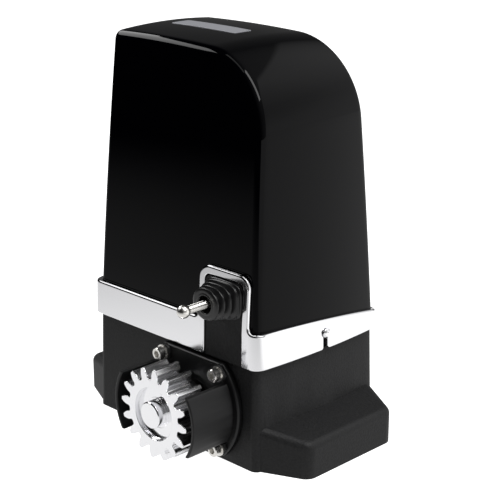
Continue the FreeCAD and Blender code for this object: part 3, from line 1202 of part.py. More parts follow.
def make_capacitor_clip():
    z = CHASSIS_TOP_Z + 22
    band = ring(CAPACITOR_R + 1.5, CAPACITOR_R, 12, CAPACITOR_X, CAPACITOR_Y, z)
    band = band.cut(box(CAPACITOR_X + 5, CAPACITOR_Y - 40, z - 1, CAPACITOR_X + 11, CAPACITOR_Y, z + 13))
    leg = box(
        CAPACITOR_X + CAPACITOR_R, CAPACITOR_Y - 6, CHASSIS_TOP_Z,
        CAPACITOR_X + CAPACITOR_R + 1.5, CAPACITOR_Y + 6, z + 12)
    return join(band, leg).cut(cylinder(CAPACITOR_R, 60, CAPACITOR_X, CAPACITOR_Y, z - 30))


TRANSFORMER_X = BASE_HALF_X - 35.0
TRANSFORMER_Y = CAVITY_HALF_Y - 22.6
CORE_W, CORE_D, CORE_H = 44.0, 18.0, 38.0


def make_transformer_core():
    x0, y0, z0 = TRANSFORMER_X - CORE_W / 2, TRANSFORMER_Y - CORE_D / 2, CHASSIS_TOP_Z
    core = box(x0, y0, z0, x0 + CORE_W, y0 + CORE_D, z0 + CORE_H)
    limb = CORE_W / 6
    windows = [
        box(x0 + limb * (1 + 3 * k), y0 - 1, z0 + limb,
            x0 + limb * (2 + 3 * k), y0 + CORE_D + 1, z0 + CORE_H - limb)
        for k in (0, 1)]
    return less(core, *windows)


def make_transformer_coil():
    limb = CORE_W / 6
    x0, x1 = TRANSFORMER_X - CORE_W / 2 + limb, TRANSFORMER_X + CORE_W / 2 - limb
    z0, z1 = CHASSIS_TOP_Z + limb, CHASSIS_TOP_Z + CORE_H - limb
    bulge = 5.0
    coil = box(x0, TRANSFORMER_Y - CORE_D / 2 - bulge, z0, x1, TRANSFORMER_Y + CORE_D / 2 + bulge, z1)
    middle = box(
        TRANSFORMER_X - limb, TRANSFORMER_Y - CORE_D / 2, z0 - 1,
        TRANSFORMER_X + limb, TRANSFORMER_Y + CORE_D / 2, z1 + 1)
    return coil.cut(middle)


# ---------------------------------------------------------------- release on the back
LOCK_X = LEVER_PIVOT_X - LEVER_LENGTH + 12
LOCK_R = 6.0
ROD_END_Y = LEVER_Y - LEVER_T / 2 - GAP


def make_release_lever():
    y0 = LEVER_Y - LEVER_T / 2
    z0 = AXIS_Z - LEVER_H / 2
    bar = box(LEVER_PIVOT_X - LEVER_LENGTH, y0, z0, LEVER_PIVOT_X, y0 + LEVER_T, z0 + LEVER_H)
    hub = cylinder(LEVER_T / 2, LEVER_H, LEVER_PIVOT_X, LEVER_Y, z0)
    tip = edges_along(bar, Z_AXIS, lambda point: point.x < LEVER_PIVOT_X - LEVER_LENGTH + 1)
    bar = bar.makeFillet(3.0, tip)
    bar = join(bar, hub)
    grip = cylinder(40, LEVER_H + 2, LEVER_PIVOT_X - 42, y0 - 38.6, z0 - 1)
    lock_bore = cylinder(LOCK_R + RUNNING, 30, LOCK_X, y0 + 2, AXIS_Z, Y_AXIS)
    pin = cylinder(LEVER_PIN_R + RUNNING, 40, LEVER_PIVOT_X, LEVER_Y, AXIS_Z - 20)
    return less(bar, grip, lock_bore, pin)


def make_lock_cylinder():
    y0 = LEVER_Y - LEVER_T / 2 + 2 + GAP
    face = LEVER_Y + LEVER_T / 2 + 1.0
    barrel = cylinder(LOCK_R, face - y0, LOCK_X, y0, AXIS_Z, Y_AXIS)
    barrel = barrel.makeChamfer(0.8, [
        e for e in barrel.Edges if len(e.Vertexes) == 1 and e.CenterOfMass.y > face - 0.1])
    return barrel.cut(box(LOCK_X - 0.9, face - 5, AXIS_Z - 4, LOCK_X + 0.9, face + 1, AXIS_Z + 4))


def make_release_hinge_pin():
    reach = LEVER_H / 2 + GAP + LEVER_EAR_T
    pin = cylinder(LEVER_PIN_R, 2 * reach, LEVER_PIVOT_X, LEVER_Y, AXIS_Z - reach)
    return join(pin, cylinder(LEVER_PIN_R + 1.5, 1.5, LEVER_PIVOT_X, LEVER_Y, AXIS_Z + reach))


def make_release_rod():
    start = REAR_JOURNAL_END_Y - 8
    return cylinder(RELEASE_ROD_R, ROD_END_Y - start, AXIS_X, start, AXIS_Z, Y_AXIS)


# ---------------------------------------------------------------- write the parts
def make_all():
    return {
        "base_housing": make_base_housing(),
        "cable_grommet": make_cable_grommet(),
        "pinion_guard": make_pinion_guard(),
        "guard_screws": make_guard_screws(),
        "output_seal": make_output_seal(),
        "gearbox_case": make_gearbox_case(),
        "gearbox_bolts": make_gearbox_bolts(),
        "gearbox_rear_cover": make_gearbox_rear_cover(),
        "rear_cover_screws": make_rear_cover_screws(),
        "output_bearing_front": chamfered_bearing(BEARING_6205, AXIS_X, FRONT_BEARING_Y, AXIS_Z, Y_AXIS),
        "output_bearing_rear": chamfered_bearing(BEARING_6204, AXIS_X, REAR_BEARING_Y, AXIS_Z, Y_AXIS),
        "worm_bearing_lower": chamfered_bearing(BEARING_6201, WORM_X, WHEEL_MID_Y, LOWER_BEARING_Z, Z_AXIS),
        "worm_bearing_upper": chamfered_bearing(BEARING_6203, WORM_X, WHEEL_MID_Y, UPPER_BEARING_Z, Z_AXIS),
        "rotor_bearing_top": chamfered_bearing(BEARING_6201, WORM_X, WHEEL_MID_Y, TOP_BEARING_Z, Z_AXIS),
        "chassis_plate": make_chassis_plate(),
        "chassis_screws": make_chassis_screws(),
        "motor_flange": make_motor_flange(),
        "stator_stack": make_stator_stack(),
        "stator_windings": make_stator_windings(),
        "motor_end_bell": make_motor_end_bell(),
        "motor_tie_bolts": make_motor_tie_bolts(),
        "run_capacitor": make_run_capacitor(),
        "capacitor_clip": make_capacitor_clip(),
        "transformer_core": make_transformer_core(),
        "transformer_coil": make_transformer_coil(),
        "board_bracket": make_board_bracket(),
        "control_board": make_control_board(),
        "terminal_blocks": make_terminal_blocks(),
        "relays": make_relays(),
        "fuse_holder": make_fuse_holder(),
        "receiver_module": make_receiver_module(),
        "limit_switch_case": make_limit_switch_case(),
        "bellows": make_bellows(),
        "cover_screws": make_cover_screws(),
        "release_hinge_pin": make_release_hinge_pin(),
        "cover_shell": make_cover_shell(),
        "trim_band": make_trim_band(),
        "output_shaft": make_output_shaft(),
        "pinion": make_pinion(),
        "pinion_key": pinion_key_body(),
        "pinion_circlip": make_pinion_circlip(),
        "worm_wheel": make_worm_wheel(),
        "wheel_key": wheel_key_body(),
        "worm_shaft": make_worm_shaft(),
        "rotor_core": make_rotor_core(),
        "limit_pivot": make_limit_pivot(),
        "limit_rod": make_limit_rod(),
        "limit_ball": make_limit_ball(),
        "release_lever": make_release_lever(),
        "lock_cylinder": make_lock_cylinder(),
        "release_rod": make_release_rod(),
    }


for name, shape in make_all().items():
    shape.exportStep("parts/" + name + ".step")
    print(name, "solids", len(shape.Solids), "valid", shape.isValid(), "volume", round(shape.Volume))
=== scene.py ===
# %% [markdown]
# A sliding gate motor, dressed in Blender.
# The solids come in as a fixed frame: the base casting, the gears, the motor and every screw already stand
# where they belong. This file gives them finishes, and makes the pieces whose look depends on smooth
# curvature: the gloss cover, the bright trim band with its arch, the rubber boot, the spring of the lever,
# the pinion, the shaft, and the bare plate on top.

# %% Load the frame
import json
import bpy
import numpy as np
from math import atan, cos, hypot, radians, sin
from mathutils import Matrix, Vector


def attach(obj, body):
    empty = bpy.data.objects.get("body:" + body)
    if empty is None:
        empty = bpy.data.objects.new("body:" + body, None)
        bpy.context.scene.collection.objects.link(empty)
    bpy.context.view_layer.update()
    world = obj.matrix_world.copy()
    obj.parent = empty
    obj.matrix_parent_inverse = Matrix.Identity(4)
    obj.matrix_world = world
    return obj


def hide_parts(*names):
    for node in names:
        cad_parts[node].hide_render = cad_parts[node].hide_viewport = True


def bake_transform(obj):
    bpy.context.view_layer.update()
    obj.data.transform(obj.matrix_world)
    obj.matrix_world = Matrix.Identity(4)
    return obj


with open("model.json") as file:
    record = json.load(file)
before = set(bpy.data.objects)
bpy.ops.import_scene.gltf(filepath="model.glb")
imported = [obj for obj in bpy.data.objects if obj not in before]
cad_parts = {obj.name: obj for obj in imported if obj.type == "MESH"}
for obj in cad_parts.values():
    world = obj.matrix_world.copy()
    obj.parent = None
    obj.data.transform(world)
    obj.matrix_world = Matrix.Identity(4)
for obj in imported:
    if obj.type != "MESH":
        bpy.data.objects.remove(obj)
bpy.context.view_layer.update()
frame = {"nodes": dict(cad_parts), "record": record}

nodes = frame["nodes"]

# %% [markdown]
# Everything below is worked out in millimetres, as on a drawing, and becomes metres when a mesh is made.
# A surface is a grid of points: rows run one way, columns the other. Joining neighbours gives quads.

# %% Grid to mesh
MM = 0.001


def grid_faces(rows, columns, wrap=False):
    """Quads of a grid, as vertex numbers: a point, the next in its row, and the two in the next row."""
    index = np.arange(rows * columns).reshape(rows, columns)
    if wrap:
        index = np.hstack([index, index[:, :1]])
    return np.stack([index[:-1, :-1], index[:-1, 1:], index[1:, 1:], index[1:, :-1]], -1).reshape(-1, 4)


def make_piece(name, points, faces, body, finish):
    """One object with its place in its mesh: it rides on a body, where one is named, and takes a finish."""
    mesh = bpy.data.meshes.new(name)
    mesh.from_pydata((np.asarray(points).reshape(-1, 3) * MM).tolist(), [], np.asarray(faces).tolist())
    mesh.polygons.foreach_set("use_smooth", np.ones(len(mesh.polygons), bool))
    mesh.materials.append(finish)
    piece = bpy.data.objects.new(name, mesh)
    bpy.context.scene.collection.objects.link(piece)
    bpy.context.view_layer.update()
    if body:
        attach(piece, body)
    print(name, len(mesh.vertices), "points")
    return piece


def bevel(piece, width, angle=35):
    """Rounds the edges sharper than the angle, and keeps the flat faces flat to the eye."""
    change = piece.modifiers.new("rounded edges", "BEVEL")
    change.width = width * MM
    change.segments = 2
    change.limit_method = "ANGLE"
    change.angle_limit = radians(angle)
    change.harden_normals = True
    change.use_clamp_overlap = True


# %% [markdown]
# Colours are written as on a paint card, in sRGB hex. Blender mixes light in linear numbers, so one function
# turns them. One more adds a shader node with its settings and its links, and every finish is built with it.

# %% Colour and node helpers
def linear(paint):
    """Each channel c of 0 to 1: c / 12.92 below 0.04045, else ((c + 0.055) / 1.055) to the power 2.4."""
    channel = np.array([int(paint[i:i + 2], 16) for i in (1, 3, 5)]) / 255
    low, high = channel / 12.92, ((channel + 0.055) / 1.055) ** 2.4
    return (*np.where(channel <= 0.04045, low, high), 1.0)


def add(tree, kind, settings=None, links=None):
    """Adds one node. A setting is an attribute or an input's value; a link feeds an input from an output,
    or from a node's first output."""
    made = tree.nodes.new("ShaderNode" + kind)
    for key, value in (settings or {}).items():
        if isinstance(key, str) and hasattr(made, key):
            setattr(made, key, value)
        else:
            made.inputs[key].default_value = value
    for key, source in (links or {}).items():
        tree.links.new(source.outputs[0] if isinstance(source, bpy.types.Node) else source, made.inputs[key])
    return made


def finish(name, paint, metallic, roughness, extra=None):
    """A material with one Principled shader: returns it, its tree, the shader and the place on the object."""
    material = bpy.data.materials.new(name)
    material.use_nodes = True
    tree = material.node_tree
    shader = tree.nodes["Principled BSDF"]
    shader.inputs["Base Color"].default_value = linear(paint)
    shader.inputs["Metallic"].default_value = metallic
    shader.inputs["Roughness"].default_value = roughness
    for key, value in (extra or {}).items():
        shader.inputs[key].default_value = value
    place = add(tree, "TexCoord").outputs["Object"]
    print("finish:", name)
    return material, tree, shader, place


def grain(tree, shader, place, size_mm, height_mm, strength, detail=3.0):
    """Fine relief: noise whose lumps are size_mm across lifts the surface by height_mm."""
    noise = add(tree, "TexNoise", {"Scale": 1000.0 / size_mm, "Detail": detail}, {"Vector": place})
    bump = add(tree, "Bump", {"Strength": strength, "Distance": height_mm * MM}, {"Height": noise})
    tree.links.new(bump.outputs["Normal"], shader.inputs["Normal"])
    return noise


def grained(name, paint, metallic, roughness, relief, extra=None):
    """A finish whose one pattern is its grain: relief holds the lumps' size, height and strength."""
    material, tree, shader, place = finish(name, paint, metallic, roughness, extra)
    grain(tree, shader, place, *relief)
    return material


# %% [markdown]
# The base is die-cast aluminium with a fine-textured black powder coat. Powder melts into tiny lumps about
# half a millimetre across, drawn three times as coarse so that they show. They break up highlights, and their
# colour is painted shade and light: darker in their hollows, lighter on their tops, so it reads as a soft
# dark grey.

# %% Powder coat
powder_coat, tree, shader, place = finish(
    "black powder coat", "#111112", 0.0, 0.6, {"Specular IOR Level": 0.3})
lumps = grain(tree, shader, place, 1.5, 0.25, 1.0)
spread = add(tree, "MapRange", {"From Min": 0.35, "From Max": 0.65}, {"Value": lumps})
# Painted shade and light: the colour follows the lumps' height, darker in their hollows and lighter on their
# tops.
painted_lump_shade = add(tree, "MixRGB", {"Color1": linear("#0b0b0c"), "Color2": linear("#171718")}, {"Fac": spread})
tree.links.new(painted_lump_shade.outputs["Color"], shader.inputs["Base Color"])

# %% [markdown]
# The cover is injection-moulded ABS from a polished mould. It is nearly black, and what the eye sees is
# reflection. A moulded shell is never optically flat: a long shallow wave, some 25 mm from crest to crest,
# bends the reflections a little.
# The trim band is ABS with a chrome plating. Chrome is a mirror with a slightly cold tint. A moulded part
# under it leaves a long wave here too, and everyday wiping blurs the mirror slightly.

# %% Gloss and chrome
gloss_abs = grained(
    "gloss black ABS", "#010102", 0.0, 0.04, (26.0, 0.02, 0.25, 1.0), {"Specular IOR Level": 0.095})
chrome_plate = grained("chrome plating", "#eeeef0", 1.0, 0.13, (18.0, 0.015, 0.2, 1.0))

# %% [markdown]
# The pinion is cut from steel and bright zinc plated. Hobbing leaves faint lines along the flanks, and facing
# in a lathe leaves rings round the axis. Both are finer than the render can show, so the rings are drawn
# 0.5 mm apart and the lines 1 mm. A cut flank is also duller than a turned face.

# %% Plated cut steel
AXIS = (27.2, 42.3)


def turned_rings(name, paint, roughness, spacing_mm, cut=None):
    """Rings round the output's axis along Y: the distance from it drives a wave, its crests spacing_mm apart.
    Only faces that look along the axis are turned in rings, so the wave is scaled by the normal's Y squared.
    Where cut is given, it is the roughness of faces that look sideways, as flanks do. From 25 mm outwards, on
    the teeth, the hob leaves lines along those faces, about a millimetre apart."""
    material, tree, shader, place = finish(name, paint, 1.0, roughness)
    centred = add(tree, "Mapping", {"Location": (-AXIS[0] * MM, 0.0, -AXIS[1] * MM)}, {"Vector": place})
    flat = add(tree, "VectorMath", {"operation": "MULTIPLY", 1: (1.0, 0.0, 1.0)}, {0: centred})
    reach = add(tree, "VectorMath", {"operation": "LENGTH"}, {0: flat}).outputs["Value"]
    wave = add(tree, "Math", {"operation": "MULTIPLY", 1: 2 * np.pi / (spacing_mm * MM)}, {0: reach})
    crest = add(tree, "Math", {"operation": "SINE"}, {0: wave})
    facing = add(tree, "SeparateXYZ", None, {"Vector": add(tree, "TexCoord").outputs["Normal"]}).outputs["Y"]
    squared = add(tree, "Math", {"operation": "MULTIPLY"}, {0: facing, 1: facing})
    height = add(tree, "Math", {"operation": "MULTIPLY"}, {0: crest, 1: squared})
    bump = add(tree, "Bump", {"Strength": 0.2, "Distance": 0.01 * MM}, {"Height": height})
    tree.links.new(bump.outputs["Normal"], shader.inputs["Normal"])
    if cut:
        teeth = add(tree, "MapRange", {"From Min": 23 * MM, "From Max": 25 * MM}, {"Value": reach})
        flank = add(tree, "MapRange", {"From Max": 0.5, "To Min": 1.0, "To Max": 0.0}, {"Value": squared})
        spread = add(tree, "MapRange", {"To Min": roughness, "To Max": cut}, {"Value": flank})
        tree.links.new(spread.outputs["Result"], shader.inputs["Roughness"])
        share = add(tree, "Math", {"operation": "MULTIPLY"}, {0: teeth, 1: flank})
        drawn = add(tree, "Mapping", {"Scale": (900.0, 18.0, 900.0)}, {"Vector": place})
        lines = add(tree, "TexNoise", {"Scale": 1.0, "Detail": 2.0}, {"Vector": drawn})
        marks = add(tree, "Math", {"operation": "MULTIPLY"}, {0: lines, 1: share})
        hobbed = add(tree, "Bump", {"Strength": 0.4, "Distance": 0.2 * MM}, {"Height": marks, "Normal": bump})
        tree.links.new(hobbed.outputs["Normal"], shader.inputs["Normal"])
    return material


plated_steel = turned_rings("bright zinc plated steel", "#f2f2f4", 0.12, 0.5, 0.22)
turned_steel = turned_rings("turned shaft steel", "#f2f2f4", 0.1, 0.6)

# %% [markdown]
# The guard and the release lever are moulded glass-filled nylon, dull with a slight sheen. The boot is soft
# moulded rubber: its skin is closed and greyer, and catches grazing light along each pleat.

# %% Nylon and rubber
guard_nylon = grained("moulded nylon", "#0c0c0d", 0.0, 0.42, (1.2, 0.03, 0.35), {"Specular IOR Level": 0.3})
boot_rubber = grained("moulded rubber", "#0f0f10", 0.0, 0.3, (0.8, 0.02, 0.3), {"Specular IOR Level": 0.5})

# %% [markdown]
# The guard's screws are satin nickel plated, and those of the band are chromed as it is. The lock and the
# lever's spring are bright nickel. The chassis plate is zinc plated sheet, whose crystals and handling make
# its gloss wander in patches.

# %% Nickel and zinc
bright_plate = grained("bright nickel plating", "#e2e0dc", 1.0, 0.12, (3.0, 0.01, 0.15))
satin_plate = grained("satin nickel plating", "#e2e0dc", 1.0, 0.26, (3.0, 0.01, 0.15))
zinc_sheet, tree, shader, place = finish("zinc plated steel", "#b9bcc2", 1.0, 0.32)
grain(tree, shader, place, 6.0, 0.02, 0.2)
patches = add(tree, "TexNoise", {"Scale": 1000.0 / 9.0, "Detail": 4.0}, {"Vector": place})
spread = add(tree, "MapRange", {"To Min": 0.24, "To Max": 0.42}, {"Value": patches})
tree.links.new(spread.outputs["Result"], shader.inputs["Roughness"])

# %% [markdown]
# Under the cover: seals of nitrile rubber, screws of steel under black oxide, which stays slightly metallic,
# sand-rough cast aluminium, bronze for the wheel, ground steel for the bearings, a glass-epoxy board under
# green solder mask, and moulded parts. Each has the fine grain of its mould or cut. They are listed by slot.

# %% Inside finishes
INSIDE = {
    "seal_rubber": grained("nitrile rubber", "#1d1b19", 0.0, 0.6, (0.8, 0.03, 0.3)),
    "black_screw": grained("black oxide steel", "#5c5c60", 1.0, 0.3, (0.7, 0.01, 0.3)),
    "case_aluminium": grained("cast aluminium", "#a9abad", 1.0, 0.5, (1.1, 0.08, 0.5)),
    "wheel_bronze": grained("machined tin bronze", "#b98a4e", 1.0, 0.28, (0.9, 0.01, 0.3)),
    "bearing_steel": grained("ground bearing steel", "#c9cbce", 1.0, 0.16, (0.7, 0.006, 0.25)),
    "board_green": grained("green solder mask", "#14522b", 0.0, 0.28, (1.5, 0.02, 0.4)),
    "terminal_green": grained("green moulded polyamide", "#2e8b4a", 0.0, 0.4, (0.8, 0.02, 0.3)),
    "relay_black": grained("black moulded relay case", "#232326", 0.0, 0.35, (0.8, 0.02, 0.3)),
    "switch_grey": grained("grey moulded switch case", "#4a4a4d", 0.0, 0.45, (0.8, 0.02, 0.3)),
    "capacitor_shell": grained("light grey moulded can", "#d6d5cf", 0.0, 0.38, (0.9, 0.02, 0.3)),
    "module_blue": grained("blue moulded module", "#2b4d94", 0.0, 0.35, (0.9, 0.02, 0.3)),
    "fuse_glass": grained("glass fuse", "#c7ccca", 0.0, 0.08, (2.0, 0.01, 0.1)),
}

# %% [markdown]
# The motor's iron is a stack of laminations half a millimetre thick, and its coils are varnished copper turns
# about 1 mm thick. Both are layers one above the other. The laminations are drawn twice as thick so that they
# show.

# %% Layered finishes
def layered(name, paint, metallic, roughness, spacing_mm, depth_mm):
    """Layers one above the other: a sine of the height, with crests spacing_mm apart, presses grooves."""
    material, tree, shader, place = finish(name, paint, metallic, roughness)
    along = add(tree, "SeparateXYZ", None, {"Vector": place}).outputs["Z"]
    wave = add(tree, "Math", {"operation": "MULTIPLY", 1: 2 * np.pi / (spacing_mm * MM)}, {0: along})
    crest = add(tree, "Math", {"operation": "SINE"}, {0: wave})
    bump = add(tree, "Bump", {"Strength": 0.6, "Distance": depth_mm * MM}, {"Height": crest})
    tree.links.new(bump.outputs["Normal"], shader.inputs["Normal"])
    return material


laminations = layered("stacked laminations", "#7b7d80", 1.0, 0.42, 1.0, 0.1)
copper_turns = layered("varnished copper wire", "#b5622e", 0.9, 0.3, 1.2, 0.25)

# %% [markdown]
# Each solid gets the finish of its own material slot. The solids' meshes stay as they are. On the three that
# the eye meets first, a weld and a small bevel, both live modifiers, join the loose triangles and round every
# edge by a few tenths of a millimetre, because a real edge always catches a thin line of light. Two nodes
# differ from their slot: the ball of the lever is satin nickel, and the band's screws are chromed.

# %% Finishes on the solids
FINISHES = {
    **INSIDE, "base_paint": powder_coat, "cover_gloss": gloss_abs, "band_chrome": chrome_plate,
    "bright_screw": satin_plate, "guard_plastic": guard_nylon, "lever_black": guard_nylon,
    "gear_steel": plated_steel, "shaft_steel": turned_steel, "boot_rubber": boot_rubber,
    "zinc_plate": zinc_sheet, "lamination": laminations, "copper_enamel": copper_turns,
    "lock_nickel": bright_plate,
}
slot_of = {part["node"]: part["material_slot"] for part in frame["record"]["subparts"]}
for name, solid in nodes.items():
    solid.data.materials.clear()
    solid.data.materials.append(FINISHES[slot_of[name]])
nodes["limit_ball"].data.materials[0] = satin_plate
nodes["cover_screws"].data.materials[0] = chrome_plate
print("finished solids:", len(slot_of))
for name, width in {"base_housing": 0.5, "pinion_guard": 0.4, "release_lever": 0.6}.items():
    weld = nodes[name].modifiers.new("weld", "WELD")
    weld.merge_threshold = 0.002 * MM
    bevel(nodes[name], width, 30)

# %% [markdown]
# The cover, seen from the front, is a tall arch that isn't symmetric: a tight heel at one end of the top, a
# wide shoulder of 62 mm at the other. Seen from the end, its faces lean in and curve. The whole skin is one
# grid: a row follows the arch round, and a column goes up the front face, over the rounded edge, across the
# crowned top, and down the back. One grid has no seams, so its reflections run on unbroken.

# %% The cover's elevation
STEP_Z, COVER_Z = 82.0, 82.4  # the base's step, and the cover's foot just above it
MIDDLE_Y, EDGE_R, WALL = 0.6, 5.5, 2.8  # middle of the depth, edge round, wall
END_X, END_Z, LEAN = 90.0, 113.0, 0.0455  # half width at a height, and how it leans in
HEEL_Z, HEEL_R = 303.0, 6.6
SHOULDER_Z, SHOULDER_R = 247.2, 62.0
TOP_PEAK = (-40.0, 310.3)  # a point that the top arc passes through


def arc_points(centre_x, centre_z, radius, start, end, count):
    """Points and outward directions of an arc: the centre plus the radius times (cos, sin)."""
    turn = np.linspace(start, end, count)
    out = np.stack([np.cos(turn), np.sin(turn)], -1)
    return np.array([centre_x, centre_z]) + radius * out, out


def line_points(start, end, count):
    """Evenly spaced points of a straight run, and the direction to its left as the outward one."""
    step = np.subtract(end, start) / hypot(*np.subtract(end, start))
    share = np.linspace(0, 1, count)[:, None]
    points = np.array(start) * (1 - share) + np.array(end) * share
    return points, np.repeat([[-step[1], step[0]]], count, 0)


def circle_through(a, b, c):
    """Centre and radius of the circle through three points: where the perpendicular bisectors cross."""
    rows = 2 * np.array([np.subtract(b, a), np.subtract(c, a)])
    sums = np.array([np.dot(b, b) - np.dot(a, a), np.dot(c, c) - np.dot(a, a)])
    centre = np.linalg.solve(rows, sums)
    return centre, hypot(*np.subtract(a, centre))


def end_x(z):
    """Half width of the arch at a height: END_X at END_Z, and less by LEAN for each millimetre up."""
    return END_X - LEAN * (z - END_Z)


def cover_outline():
    """The arch from the foot of the -X end, over heel, top and shoulder, to the foot of the +X end."""
    lean = atan(LEAN)
    foot = end_x(STEP_Z)
    shoulder_x = end_x(SHOULDER_Z) - SHOULDER_R / cos(lean)
    heel_x = -(end_x(HEEL_Z) - HEEL_R / cos(lean))
    heel = arc_points(heel_x, HEEL_Z, HEEL_R, np.pi - lean, np.pi / 2 + 0.014, 12)
    shoulder = arc_points(shoulder_x, SHOULDER_Z, SHOULDER_R, np.pi / 2 - 0.035, lean, 44)
    left = line_points((-foot, STEP_Z), heel[0][0], 60)
    right = line_points(shoulder[0][-1], (foot, STEP_Z), 44)
    centre, radius = circle_through(heel[0][-1], TOP_PEAK, shoulder[0][0])
    ends = [np.arctan2(*(np.array(p) - centre)[::-1]) for p in (heel[0][-1], shoulder[0][0])]
    top = arc_points(*centre, radius, *ends, 40)
    runs = [left, heel, top, shoulder, right]
    points = np.vstack([run[0][(1 if i else 0):] for i, run in enumerate(runs)])
    out = np.vstack([run[1][(1 if i else 0):] for i, run in enumerate(runs)])
    return points, out


# Half depth and height of three points of the front face.
FACE_CENTRE, FACE_R = circle_through((66.7, STEP_Z), (59.3, 205.0), (50.8, 304.0))
print("face arc radius", round(FACE_R), "mm")


def face_half(z):
    """Half depth of the cover at a height: its front and back faces are arcs of one large circle."""
    return FACE_CENTRE[0] + np.sqrt(FACE_R ** 2 - (z - FACE_CENTRE[1]) ** 2)


def crown(y, rise=2.5, reach=50.0):
    """How far top and ends bulge at a depth: rise in the middle, nothing at a distance reach from it."""
    return rise * (1 - ((y - MIDDLE_Y) / reach) ** 2)


# %% The cover's skin
def cover_skin(inset):
    """Rows of points from the front's foot over the top to the back's foot, for each column of the arch.

    Front face: from a point on the base line to the arch moved in by the edge radius, on the leaning face.
    Rounded edge: a conic from the face to the top sheet, pulled to their sharp corner with weight cos 45.
    Top sheet: the arch moved out by the crown, with the depth running from edge to edge."""
    arch, out = cover_outline()
    columns = len(arch)
    base_x = np.linspace(arch[0, 0] + EDGE_R, arch[-1, 0] - EDGE_R, columns)
    radius = EDGE_R - inset

    def corner(sign, guess=58.0, rounds=6):
        """Start, sharp corner and end of the edge round; the corner's depth settles in a few rounds."""
        y = np.full(columns, MIDDLE_Y + sign * guess)
        for _ in range(rounds):
            edge = arch + out * (crown(y) - inset)[:, None]
            y = MIDDLE_Y + sign * (face_half(edge[:, 1]) - inset)
        sheet_y = y - sign * radius
        sheet = arch + out * (crown(sheet_y) - inset)[:, None]
        low = arch + out * (crown(y) - inset - radius)[:, None]
        low_y = MIDDLE_Y + sign * (face_half(low[:, 1]) - inset)

        def lift(xz, depth):
            return np.stack([xz[:, 0], depth, xz[:, 1]], -1)

        return lift(low, low_y), lift(edge, y), lift(sheet, sheet_y)

    def round_edge(low, edge, sheet, steps=9):
        share = np.linspace(0, 1, steps)[:, None, None]
        pull = 2 * cos(radians(45)) * share * (1 - share)
        bottom = (1 - share) ** 2 + pull + share ** 2
        return ((1 - share) ** 2 * low + pull * edge + share ** 2 * sheet) / bottom

    def face(low, sign, steps=64):
        share = np.linspace(0, 1, steps)[:-1, None]
        x = (1 - share) * base_x + share * low[:, 0]
        z = (1 - share) * COVER_Z + share * low[:, 2]
        return np.stack([x, MIDDLE_Y + sign * (face_half(z) - inset), z], -1)

    front, back = corner(-1), corner(1)
    depth = np.linspace(0, 1, 34)[1:-1, None]
    sheet_y = (1 - depth) * front[2][:, 1] + depth * back[2][:, 1]
    grown = arch[None] + out[None] * (crown(sheet_y) - inset)[..., None]
    sheet = np.stack([grown[..., 0], sheet_y, grown[..., 1]], -1)
    return np.concatenate([
        face(front[0], -1), round_edge(*front), sheet, round_edge(*back)[::-1], face(back[0], 1)[::-1]])


WINDOW = (37.8, 77.6, 145.4)  # its left, right and top


def cover_piece():
    """Outer and inner skin, joined along the foot and round the limit switch's window.

    The opening is larger than the window by what the band's arch hides."""
    outer, inner = cover_skin(0.0), cover_skin(WALL)
    for skin in (outer, inner):
        skin[..., 2] = np.maximum(skin[..., 2], COVER_Z)
    rows, columns = outer.shape[:2]
    faces = grid_faces(rows, columns)
    centre = outer.reshape(-1, 3)[faces].mean(1)
    hidden = 2.5
    window = ((centre[:, 1] < -30) & (centre[:, 0] > WINDOW[0] - hidden) & (centre[:, 0] < WINDOW[1] + hidden)
              & (centre[:, 2] < WINDOW[2] + hidden))
    kept = faces[~window]
    count = rows * columns
    inner_faces = kept[:, ::-1] + count
    edges = np.concatenate([kept[:, [i, (i + 1) % 4]] for i in range(4)])
    key = np.sort(edges, 1)
    _, first, times = np.unique(key, axis=0, return_index=True, return_counts=True)
    rim = edges[first[times == 1]]
    walls = np.stack([rim[:, 1], rim[:, 0], rim[:, 0] + count, rim[:, 1] + count], -1)
    points = np.concatenate([outer.reshape(-1, 3), inner.reshape(-1, 3)])
    faces = np.concatenate([kept, inner_faces, walls])
    return points, faces


points, faces = cover_piece()
cover = make_piece("gloss_cover", points, faces, "cover", gloss_abs)
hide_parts("cover_shell")
print("cover top", round(points[:, 2].max(), 1), "mm")

# %% [markdown]
# The trim band is a ribbon. Its lower edge runs round the base, but at the window it climbs up one side, over
# the top and down the other; in each end it makes a narrow slot for a screw. Its upper edge sinks from front
# to back, and swings over the arch. So the shape is ruled between two edge lines drawn on an unrolled sheet,
# whose two numbers are the way round the body and the height, and then wrapped round the body.

# %% Wrapping a sheet round the body
BASE_X, BASE_Y, DRAFT = 91.0, 67.3, 0.022  # half sizes at the floor, and their loss with height
PROUD, BURIED = 4.25, -1.0  # how far the band's face stands out, and its back lies in
CORNER_R, BOW = 10.4, 3.8  # the vertical corners, and the bulge of the ends
FLAT = 80.0  # as far as this the way round the front is simply X
CLIMB_Z, ARCH_Z = 104.0, 112.0  # where the front eases out to the cover's face
BAND_TOPS, BAND_Y = (109.6, 105.9, 95.2), 71.55  # top at front, mid-end and back; half depth


def body_shape(z, offset):
    """The rounded rectangle at a height: half depth, corner radius, the end's large circle and its middle,
    the corner's middle, and half the turn of the large circle.

    A sagitta BOW over a chord of 2 half_y gives the large radius (half_y^2 + BOW^2) / (2 BOW)."""
    half_x = BASE_X - DRAFT * z + offset
    half_y = BASE_Y - DRAFT * z + offset
    radius = np.maximum(CORNER_R + offset - PROUD, 3.0)
    big = (half_y ** 2 + BOW ** 2) / (2 * BOW)
    big_x = half_x + BOW - big
    corner_x = big_x + np.sqrt((big - radius) ** 2 - (half_y - radius) ** 2)
    swing = np.arcsin((half_y - radius) / (big - radius))
    return half_y, radius, big, big_x, corner_x, swing


_, REF_R, REF_BIG, _, REF_X, REF_SWING = body_shape(95.0, PROUD)
CORNER_RUN = REF_R * (np.pi / 2 - REF_SWING)
RUNS = np.cumsum([REF_X, CORNER_RUN, 2 * REF_BIG * REF_SWING, CORNER_RUN, REF_X])
print("way round the body", round(2 * RUNS[4], 1), "mm")


